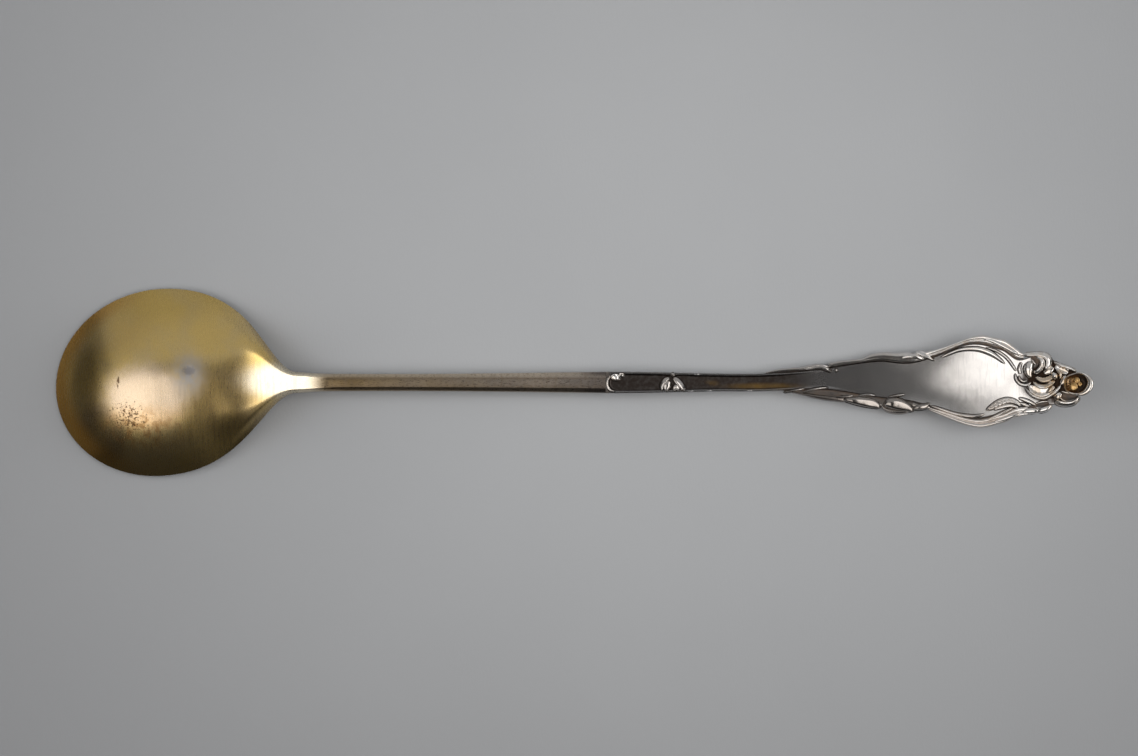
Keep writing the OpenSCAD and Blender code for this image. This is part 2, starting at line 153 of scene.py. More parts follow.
class Piece:
    """Closed skins that together stand for one node of the part."""

    def __init__(self, node):
        self.node = node
        self.points = []
        self.recess = []
        self.faces = []
        self.count = 0

    def skin(self, rings, recess):
        """Add a skin over rings of points, closed by a cap at each end."""
        rows, n = rings.shape[:2]
        i, j = np.meshgrid(np.arange(rows - 1), np.arange(n), indexing="ij")
        a = self.count + i * n + j
        b = self.count + i * n + (j + 1) % n
        self.faces += np.stack([a, a + n, b + n, b], -1).reshape(-1, 4).tolist()
        self.faces.append(list(range(self.count, self.count + n)))
        self.faces.append(list(range(self.count + (rows - 1) * n, self.count + rows * n)))
        self.points.append(rings.reshape(-1, 3))
        self.recess.append(np.broadcast_to(recess, (rows, n)).reshape(-1))
        self.count += rows * n

    def build(self, slot, material):
        """Make the mesh, with sharp edges round its caps, and put it in place of the node."""
        mesh = bpy.data.meshes.new(self.node + "_look")
        mesh.from_pydata((np.concatenate(self.points) * MM).tolist(), [], self.faces)
        attribute = mesh.attributes.new("recess", "FLOAT", "POINT")
        attribute.data.foreach_set("value", np.concatenate(self.recess).astype(np.float32))
        bm = bmesh.new()
        bm.from_mesh(mesh)
        bmesh.ops.recalc_face_normals(bm, faces=bm.faces)
        for face in bm.faces:
            if len(face.verts) > SIDES:
                for edge in face.edges:
                    edge.smooth = False
        bm.to_mesh(mesh)
        bm.free()
        mesh.shade_smooth()
        mesh.materials.append(material)
        obj = bpy.data.objects.new(self.node + "_look", mesh)
        bpy.context.scene.collection.objects.link(obj)
        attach(obj, "root")
        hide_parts(self.node)


# Bowl

def bowl_offset(x):
    return BOWL_SKEW * (x - BOWL_WIDEST) * (1 - ease((x - BOWL_LENGTH + HEEL_TURN) / HEEL_TURN))


def arch(s, height, fullness):
    return height * (1 - np.abs(s) ** fullness)


# Parts of a section of the bowl, and the number of points along each
BACK, LIP, HOLLOW = 0, 1, 2
BACK_POINTS, LIP_POINTS, HOLLOW_POINTS = 121, 5, 71
# Numbers of sections before and after the widest place, and where the first lies, in degrees from the tip
TIP_SECTIONS, HEEL_SECTIONS = 80, 100
FIRST_TURN = 0.8
# Height and width of the rounded lip
EDGE = 0.34
LIP_WIDTH = 0.3
# Shares of the half width: the most that the lip takes, and the least that the hollow takes
LIP_SHARE = 0.3
HOLLOW_SHARE = 0.3
# Reach of the waved middle towards the heel, and the darkness of the lip
HEEL_REACH = 30
LIP_RECESS = 1.4
# Dent in the back
DENT = (-74.9, 2.5)
DENT_SPREAD = 0.9
DENT_DEPTH = 0.06


def bowl_ring(x, half, rise, hollow_half, hollow, fullness):
    """One section of the shell: the back, a rounded lip, the flat rim and the hollow."""
    lip = min(LIP_WIDTH, LIP_SHARE * half)
    s = np.cos(np.linspace(0, np.pi, BACK_POINTS))
    back_y = s * half
    back_z = EDGE + arch(s, rise, fullness)
    turn = np.linspace(0, np.pi / 2, LIP_POINTS + 1)[1:]
    lip_y = half - lip * (1 - np.cos(turn))
    lip_z = EDGE * (1 - np.sin(turn))
    s = -np.cos(np.linspace(0, np.pi, HOLLOW_POINTS))
    y = np.concatenate([back_y, -lip_y, s * hollow_half, lip_y[::-1]])
    z = np.concatenate([back_z, lip_z, arch(s, hollow, fullness), lip_z[::-1]])
    part = np.repeat([BACK, LIP, HOLLOW, LIP], [BACK_POINTS, LIP_POINTS, HOLLOW_POINTS, LIP_POINTS])
    return np.stack([np.full(len(y), X_TIP + x), bowl_offset(x) + y, x * BOWL_SLOPE + z, part], -1)


def heel_fall(t):
    """Share of the way down from the crown of the bowl to the top of the neck."""
    return 1.84 * t * t - 0.84 * t ** 3


def bowl():
    rings = []
    for turn in np.radians(np.linspace(FIRST_TURN, 90, TIP_SECTIONS)):
        x = BOWL_WIDEST * (1 - math.cos(turn))
        half = BOWL_WIDTH / 2 * math.sin(turn)
        rise = (BOWL_DEPTH - EDGE) * (1 - math.cos(turn) ** BOWL_FULLNESS)
        inner = min(BOWL_WIDEST * math.cos(turn) / (BOWL_WIDEST - RIM_WIDTH), 1)
        hollow_half = max(HOLLOW_SHARE * half, (BOWL_WIDTH / 2 - RIM_WIDTH) * math.sqrt(1 - inner * inner))
        hollow = (BOWL_DEPTH - BOWL_WALL) * (1 - inner ** BOWL_FULLNESS)
        rings.append(bowl_ring(x, half, rise, hollow_half, hollow, BOWL_FULLNESS))
    for t in np.linspace(0, 1, HEEL_SECTIONS + 1)[1:]:
        x = bezier(BOWL_WIDEST, BOWL_WIDEST + HEEL_SHOULDER, BOWL_LENGTH - HEEL_TAPER, BOWL_LENGTH, t)
        half = mix(BOWL_WIDTH, NECK_WIDTH, ease(t)) / 2
        back = mix(BOWL_DEPTH, NECK_THICKNESS, heel_fall(t))
        hollow_half = max(HOLLOW_SHARE * half, half - RIM_WIDTH)
        hollow = (back - BOWL_WALL) * (1 - ease((t - 0.3) / 0.5))
        fullness = mix(BOWL_FULLNESS, STEM_FULLNESS, ease((t - 0.2) / 0.8))
        rings.append(bowl_ring(x, half, back - EDGE, hollow_half, hollow, fullness))
    rings = np.array(rings)
    x, y, part = rings[..., 0], rings[..., 1], rings[..., 3]
    reach = np.where(x < X_TIP + BOWL_WIDEST, BOWL_WIDEST, HEEL_REACH)
    from_middle = np.hypot((x - X_TIP - BOWL_WIDEST) / reach, y / (BOWL_WIDTH / 2))
    inside = ease((1 - from_middle) * 4) * (part == BACK)
    waves = 0.02 * ripple(x, y, 9) + 0.004 * ripple(x, y, 3, 5.0)
    rings[..., 2] += inside * (waves - DENT_DEPTH * mound(x, y, DENT, DENT_SPREAD))
    near_rim = 1 - np.clip((1 - from_middle) * 4, 0, 1)
    piece = Piece("bowl")
    piece.skin(rings[..., :3], np.where(part == LIP, LIP_RECESS, near_rim))
    return piece


# Stem

def under(x):
    """Height of the underside of the stem and handle."""
    t = (x - X_NECK) / (X_REST - X_NECK)
    start = BOWL_LENGTH * BOWL_SLOPE
    falling = bezier(start, start, 0, 0, t)
    return np.where(x < X_REST, falling, TIP_RISE * ((x - X_REST) / (X_FAR - X_REST)) ** 2)


STEM_SECTIONS, STEM_POINTS = 240, 61
STEM_HALF = [
    (X_NECK, NECK_WIDTH / 2),
    (X_NECK + 0.06 * STEM_LENGTH, mix(STEM_WAIST, NECK_WIDTH, 0.3) / 2),
    (X_NECK + 0.18 * STEM_LENGTH, STEM_WAIST / 2),
    (X_NECK + 0.5 * STEM_LENGTH, mix(STEM_WAIST, STEM_END_WIDTH, 0.1) / 2),
    (X_SHANK, STEM_END_WIDTH / 2)]
# Top and underside of the stem's section, as shares of the half width and of the thickness
BEVEL = [
    (0, 1), (0.2, 0.997), (0.45, 0.975), (0.56, 0.95), (0.9, 0.72), (0.965, 0.63), (0.99, 0.48), (1, 0.3)]
STEM_UNDERSIDE = np.array([
    (-0.985, 0.12), (-0.9, 0.03), (-0.75, 0), (0, 0), (0.75, 0), (0.9, 0.03), (0.985, 0.12)])


def stem():
    x = np.linspace(X_NECK, X_SHANK, STEM_SECTIONS)[:, None]
    s = np.cos(np.linspace(0, np.pi, STEM_POINTS))[None, :]
    half = through(STEM_HALF, x)
    thick = mix(STEM_THICKNESS, NECK_THICKNESS, np.clip(1 - (x - X_NECK) / NECK_RUN, 0, 1) ** 1.5)
    flat = ease((x - X_NECK - 1) / 9)
    section = mix(arch(s, 1, STEM_FULLNESS), through(BEVEL, np.abs(s)), flat)
    wave = flat * (1 - ease((x - X_SHANK + 4) / 4))
    top = under(x) + thick * section + 0.025 * wave * section * ripple(x, s * half * 0.4, 5, 2.0)
    low_s, low_share = STEM_UNDERSIDE.T[:, None, :]
    y = np.concatenate([half * s, half * low_s], 1)
    z = np.concatenate([top, under(x) + thick * low_share], 1)
    piece = Piece("stem")
    piece.skin(np.stack([np.broadcast_to(x, y.shape), y, z], -1), 0.0)
    return piece


# Handle plate

SHANK_HALF = [
    (X_SHANK, STEM_END_WIDTH / 2),
    (X_SHANK + 0.25 * SHANK_LENGTH, STEM_END_WIDTH / 2 - 0.05),
    (X_SHANK + 0.75 * SHANK_LENGTH, SHANK_WAIST / 2),
    (X_BLADE, SHANK_WAIST / 2)]
TONGUE_HALF = CUP_WIDTH / 2 - CUP_WALL
UPPER_HALF = SHANK_HALF + [
    (X_BLADE + 0.14 * BLADE_LENGTH, SHANK_WAIST / 2 + 0.4),
    (X_BLADE + 0.26 * BLADE_LENGTH, mix(SHANK_WAIST / 2, FIELD_NARROW * 0.58, 0.45)),
    (X_BLADE + 0.46 * BLADE_LENGTH, FIELD_NARROW * 0.58),
    (X_BLADE + 0.58 * BLADE_LENGTH, FIELD_NARROW * 0.53),
    (X_BLADE + 0.68 * BLADE_LENGTH, mix(FIELD_NARROW, FIELD_WIDE, 0.4) / 2),
    (X_BLADE + 0.82 * BLADE_LENGTH, FIELD_WIDE * 0.52),
    (X_BLADE + 0.94 * BLADE_LENGTH, FIELD_WIDE * 0.44),
    (X_BLOSSOM, FIELD_WIDE * 0.31),
    (X_BLOSSOM + 0.25 * BLOSSOM_LENGTH, FIELD_WIDE * 0.37),
    (X_BLOSSOM + 0.4 * BLOSSOM_LENGTH, FIELD_WIDE * 0.35),
    (X_CUP - CUP_LENGTH / 2, mix(TONGUE_HALF, FIELD_WIDE * 0.31, 0.5)),
    (X_CUP, TONGUE_HALF)]
LOWER_HALF = SHANK_HALF + [
    (X_BLADE + 0.14 * BLADE_LENGTH, SHANK_WAIST / 2 - 0.3),
    (X_BLADE + 0.26 * BLADE_LENGTH, SHANK_WAIST / 2 - 0.35),
    (X_BLADE + 0.46 * BLADE_LENGTH, FIELD_NARROW * 0.4),
    (X_BLADE + 0.58 * BLADE_LENGTH, FIELD_NARROW * 0.5),
    (X_BLADE + 0.68 * BLADE_LENGTH, mix(FIELD_NARROW, FIELD_WIDE, 0.35) / 2),
    (X_BLADE + 0.84 * BLADE_LENGTH, FIELD_WIDE * 0.48),
    (X_BLADE + 0.94 * BLADE_LENGTH, FIELD_WIDE * 0.41),
    (X_BLOSSOM, FIELD_WIDE * 0.33),
    (X_BLOSSOM + 0.4 * BLOSSOM_LENGTH, FIELD_WIDE * 0.31),
    (X_CUP - CUP_LENGTH / 2, mix(TONGUE_HALF, FIELD_WIDE * 0.31, 0.8)),
    (X_CUP, TONGUE_HALF + 0.9)]


def edge_half(x, y):
    return np.where(np.asarray(y) > 0, through(UPPER_HALF, x), through(LOWER_HALF, x))


def in_blade(x):
    return ease((x - X_BLADE) / (0.4 * BLADE_LENGTH))


def in_blossom(x):
    return ease((x - X_BLOSSOM + 4) / 4)


def plate_low(x):
    return under(x) + FACE_SINK * in_blade(x)


def panel_inset(x, y):
    """Distance in from the outline of the sunk panel, which starts with a round end."""
    half = edge_half(x, y)
    y = np.clip(y, -half, half)
    into = np.minimum(x - X_SHANK - PANEL_START, half)
    return half - np.hypot(half - into, y)


def plate_top(x, y):
    half = edge_half(x, y)
    s = np.clip(y / half, -1, 1)
    lip = 1 - ease(panel_inset(x, y) / PANEL_MARGIN - 0.5)
    thick = mix(STEM_THICKNESS - PANEL_DEPTH, BLADE_THICKNESS, ease((x - X_SHANK) / (X_REST - X_SHANK)))
    return (plate_low(x) + thick + PANEL_DEPTH * (1 - in_blade(x)) * lip
            - BLADE_DISH * ease((x - X_REST) / 16) * (1 - in_blossom(x)) * (1 - s * s))


HANDLE_SECTIONS, HANDLE_POINTS = 560, 91
# Underside of the plate's section: shares of the half width, and lifts
HANDLE_UNDERSIDE = np.array([(-1, 0.12), (-0.97, 0), (-0.5, 0), (0, 0), (0.5, 0), (0.97, 0), (1, 0.12)])
# Small raised grains on the shank
GRAINS = [(24.6, 1.5), (27.0, -1.7), (35.0, -1.5), (23.4, -1.8)]
GRAIN_SPREAD = 0.06
GRAIN_HEIGHT = 0.16
# Middle and reach of the dark ground under the petals
PETALS_X, PETALS_Y = 94, 0.4
PETALS_REACH_X, PETALS_REACH_Y = 7.2, 5.4


def handle():
    x = np.linspace(X_SHANK, X_CUP, HANDLE_SECTIONS)[:, None]
    a = np.linspace(0, np.pi, HANDLE_POINTS)[None, :]
    s = np.sin((np.pi / 2 - a) * 0.999)
    y = s * edge_half(x, s)
    z = plate_top(x, y)
    inset = edge_half(x, s) - np.abs(y)
    corner = np.clip(1 - inset / 0.12, 0, 1)
    z = z - 0.1 * corner ** 2 + 0.012 * in_blade(x) * ripple(x, y, 6, 3.0)
    for place in GRAINS:
        z = z + GRAIN_HEIGHT * mound(x, y, place, GRAIN_SPREAD)
    low_s, low_lift = HANDLE_UNDERSIDE.T[:, None, :]
    low_y = low_s * edge_half(x, low_s)
    low_z = plate_low(x) + low_lift
    panel = (1 - in_blade(x)) * ease((panel_inset(x, y) - 0.25) / 0.3)
    crease = ease((x - X_BLADE - 1) / 5) * (1 - ease((inset - 0.05) / 0.3))
    from_petals = np.hypot((x - PETALS_X) / PETALS_REACH_X, (y - PETALS_Y) / PETALS_REACH_Y)
    under_petals = ease(2.2 - 2 * from_petals)
    dark = np.maximum(np.maximum(0.85 * panel, 0.9 * crease), under_petals)
    recess = np.concatenate([dark, np.full(low_y.shape, 0.1)], 1)
    y = np.concatenate([y, low_y], 1)
    z = np.concatenate([z, low_z], 1)
    piece = Piece("handle")
    piece.skin(np.stack([np.broadcast_to(x, y.shape), y, z], -1), recess)
    return piece


# Relief

def swollen(u, round_share):
    """Cross-section with steep sides and a rounded top."""
    return (1 - round_share) * np.sqrt(1 - u ** 10) + round_share * np.sqrt(1 - u * u)


PROFILES = {
    "ridge": lambda u: swollen(u, 0.6),
    "leaf": lambda u: swollen(u, 0.45) * (1 - 0.25 * np.exp(-(u / 0.2) ** 2)),
    "roll": lambda u: swollen(u, 0.5) * (0.82 - 0.18 * np.sin(u * 1.6)),
    "lobe": lambda u: swollen(u, 0.65),
    "dish": lambda u: (1 - np.abs(u) ** 6) ** 0.5 * (0.4 + 0.6 * u * u),
    "hollow": lambda u: (1 - np.abs(u) ** 6) ** 0.5 * (0.2 + 0.8 * u * u),
}
VEINED = ("leaf", "dish")
# Width of the dark crease round a leaf
SKIRT = 0.14
# Points across a leaf, least steps along it, and more steps for each millimetre
LEAF_POINTS = 25
LEAF_STEPS = 24
STEPS_PER_MM = 9
# Places across the underside, as shares of the half width
LEAF_UNDERSIDE = np.array([[-0.8, 0.0, 0.8]])


def sweep(piece, kind, spine):
    """Leaf along a spine of (x, y, half width, height) on top of the plate, with a dark crease round it."""
    spine = np.array(spine)
    stations = np.linspace(0, 1, len(spine))
    length = np.hypot(np.diff(spine[:, 0]), np.diff(spine[:, 1])).sum()
    t = np.linspace(0, 1, int(LEAF_STEPS + STEPS_PER_MM * length))
    x, y, half, high = (through(np.stack([stations, spine[:, c]], -1), t)[:, None] for c in range(4))
    dx = np.gradient(x[:, 0])[:, None]
    dy = np.gradient(y[:, 0])[:, None]
    size = np.hypot(dx, dy)
    close = np.sqrt(np.clip(np.minimum(t, 1 - t) * 12, 0.02, 1))[:, None]
    half = half * close
    high = high * (0.3 + 0.7 * close)
    skirt = half + SKIRT * close
    u = np.cos(np.linspace(0, np.pi, LEAF_POINTS))[None, :]
    across = np.concatenate([skirt, u * half, -skirt, LEAF_UNDERSIDE * half], 1)
    px = x - dy / size * across
    py = y + dx / size * across
    veins = 1 - 0.07 * (0.5 + 0.5 * np.cos(2 * np.pi * (t[:, None] * length * 1.3 + np.abs(u) * 0.7)))
    lift = PROFILES[kind](u) * high * (veins if kind in VEINED else 1)
    z = plate_top(px, py) + FILM
    z[:, :LEAF_POINTS + 2] += FILM
    z[:, 1:LEAF_POINTS + 1] += lift
    if kind == "hollow":
        shade = np.clip(1.25 - np.abs(u) ** 3 * 1.6, 0, 1)
    elif kind == "dish":
        shade = 0.25 * (1 - np.abs(u)) + 0.9 * ease((np.abs(u) - 0.85) / 0.15)
    else:
        shade = 1 - ease((lift / np.maximum(high, 0.05) - 0.2) / 0.4)
    recess = np.ones(across.shape)
    recess[:, 1:LEAF_POINTS + 1] = shade
    past_edge = ease(np.abs(py) - edge_half(px, py) + 0.1)
    recess *= (1 - 0.75 * past_edge) * ease((px - X_SHANK - PANEL_START) / 0.3)
    piece.skin(np.stack([px, py, z], -1), recess)


# Step along a border in millimetres, points across it, and its underside: shares of the width, and lifts
BORDER_STEP = 0.14
BORDER_POINTS = 40
BORDER_UNDERSIDE = np.array([(0.97, 0.12), (0.85, 0), (0.2, 0), (0.0, FACE_SINK * 0.5)])


def border(piece, start, end, side, widths, ridges):
    """Strip of relief along one edge of the plate: each ridge is (place across, spread, height)."""
    x = np.linspace(start, end, int((end - start) / BORDER_STEP))[:, None]
    t = (x - start) / (end - start)
    inner = edge_half(x, np.full_like(x, side)) + FILM
    width = through(widths, t) * LEAF_WIDTH
    swell = 0.35 + 0.65 * np.sin(np.pi * np.clip(t, 0.02, 0.98)) ** 0.6
    rim = plate_top(x, side * inner)
    low = under(x)
    w = np.linspace(0, 1, BORDER_POINTS)[None, :]
    h = np.zeros((len(x), BORDER_POINTS))
    for ridge in ridges:
        place, spread, high = (through(v, t) if isinstance(v, list) else v for v in ridge)
        h = np.maximum(h, high * np.sqrt(np.clip(1 - ((w - place) / spread) ** 2, 0, 1)))
    top = rim + BORDER_HEIGHT * swell * (0.12 + 0.88 * h)
    fall = np.clip((w - 0.8) / 0.2, 0, 1)
    top = mix(top, mix(low, rim, 0.45), 1 - np.sqrt(np.clip(1 - fall ** 2, 0, 1)))
    crease = 1 - ease((w * width - 0.1) / 0.25)
    shade = np.clip(1 - 1.4 * h, 0, 1) * (0.65 + 0.3 * crease) * (1 - fall)
    low_w, low_lift = BORDER_UNDERSIDE.T[:, None, :]
    y = side * (inner + np.concatenate([w * width, low_w * width], 1))
    z = np.concatenate([top, np.maximum(low + low_lift, 0.0)], 1)
    recess = np.full(y.shape, 0.2)
    recess[:, :BORDER_POINTS] = shade
    piece.skin(np.stack([np.broadcast_to(x, y.shape), y, z], -1), recess)


# Border leaves: start and end as shares of the blade, side, widths along the leaf, ridges
BORDERS = {
    "upper_leaf_near": (
        0.024, 0.268, 1,
        [(0, 0.07), (0.22, 0.34), (0.54, 0.36), (0.78, 0.5), (0.92, 0.36), (1, 0.14)],
        [(0.55, 0.47, 0.95)]),
    "upper_leaf_mid": (
        0.268, 0.646, 1,
        [(0, 0.4), (0.11, 0.48), (0.24, 0.42), (0.34, 0.4), (0.44, 0.7), (0.55, 0.82), (0.7, 0.88), (0.81, 1),
         (0.89, 0.82), (0.95, 0.95), (1, 0.7)],
        [(0.52, 0.5, 1.0)]),
    "upper_border": (
        0.64, 1.02, 1,
        [(0, 0.68), (0.15, 0.6), (0.36, 0.5), (0.52, 0.7), (0.6, 0.86), (0.72, 0.92), (0.86, 1.08), (0.93, 1),
         (1, 0.5)],
        [(0.74, 0.3, 1.0), ([(0, 0.3), (0.5, 0.34), (1, 0.3)], 0.17, 0.85)]),
    "lower_leaf_near": (
        0.094, 0.339, -1,
        [(0, 0.07), (0.26, 0.46), (0.58, 0.95), (0.9, 0.98), (1, 0.86)],
        [(0.78, 0.26, 0.8)]),
    "lower_leaf_mid": (
        0.335, 0.475, -1,
        [(0, 0.95), (0.39, 0.98), (0.68, 0.98), (0.89, 0.95), (1, 0.73)],
        [(0.84, 0.2, 0.6)]),
    "lower_bud": (
        0.471, 0.6, -1,
        [(0, 0.73), (0.13, 1.2), (0.42, 1.39), (0.74, 1.25), (0.93, 0.86), (1, 0.55)],
        [(0.86, 0.2, 0.6)]),
    "lower_tip": (
        0.596, 0.662, -1,
        [(0, 0.5), (0.27, 0.64), (0.67, 0.45), (1, 0.18)],
        [(0.55, 0.45, 0.8)]),
    "lower_border": (
        0.658, 1.036, -1,
        [(0, 0.4), (0.1, 0.55), (0.31, 0.75), (0.55, 0.93), (0.73, 0.95), (0.89, 0.98), (1, 0.86)],
        [(0.74, 0.28, 1.0), ([(0, 0.4), (0.5, 0.3), (1, 0.24)], 0.2, 0.7)]),
    "curl_leaf": (
        1.036, 1.126, -1,
        [(0, 0.82), (0.41, 0.73), (0.82, 0.57), (1, 0.23)],
        [(0.6, 0.42, 0.85)]),
}

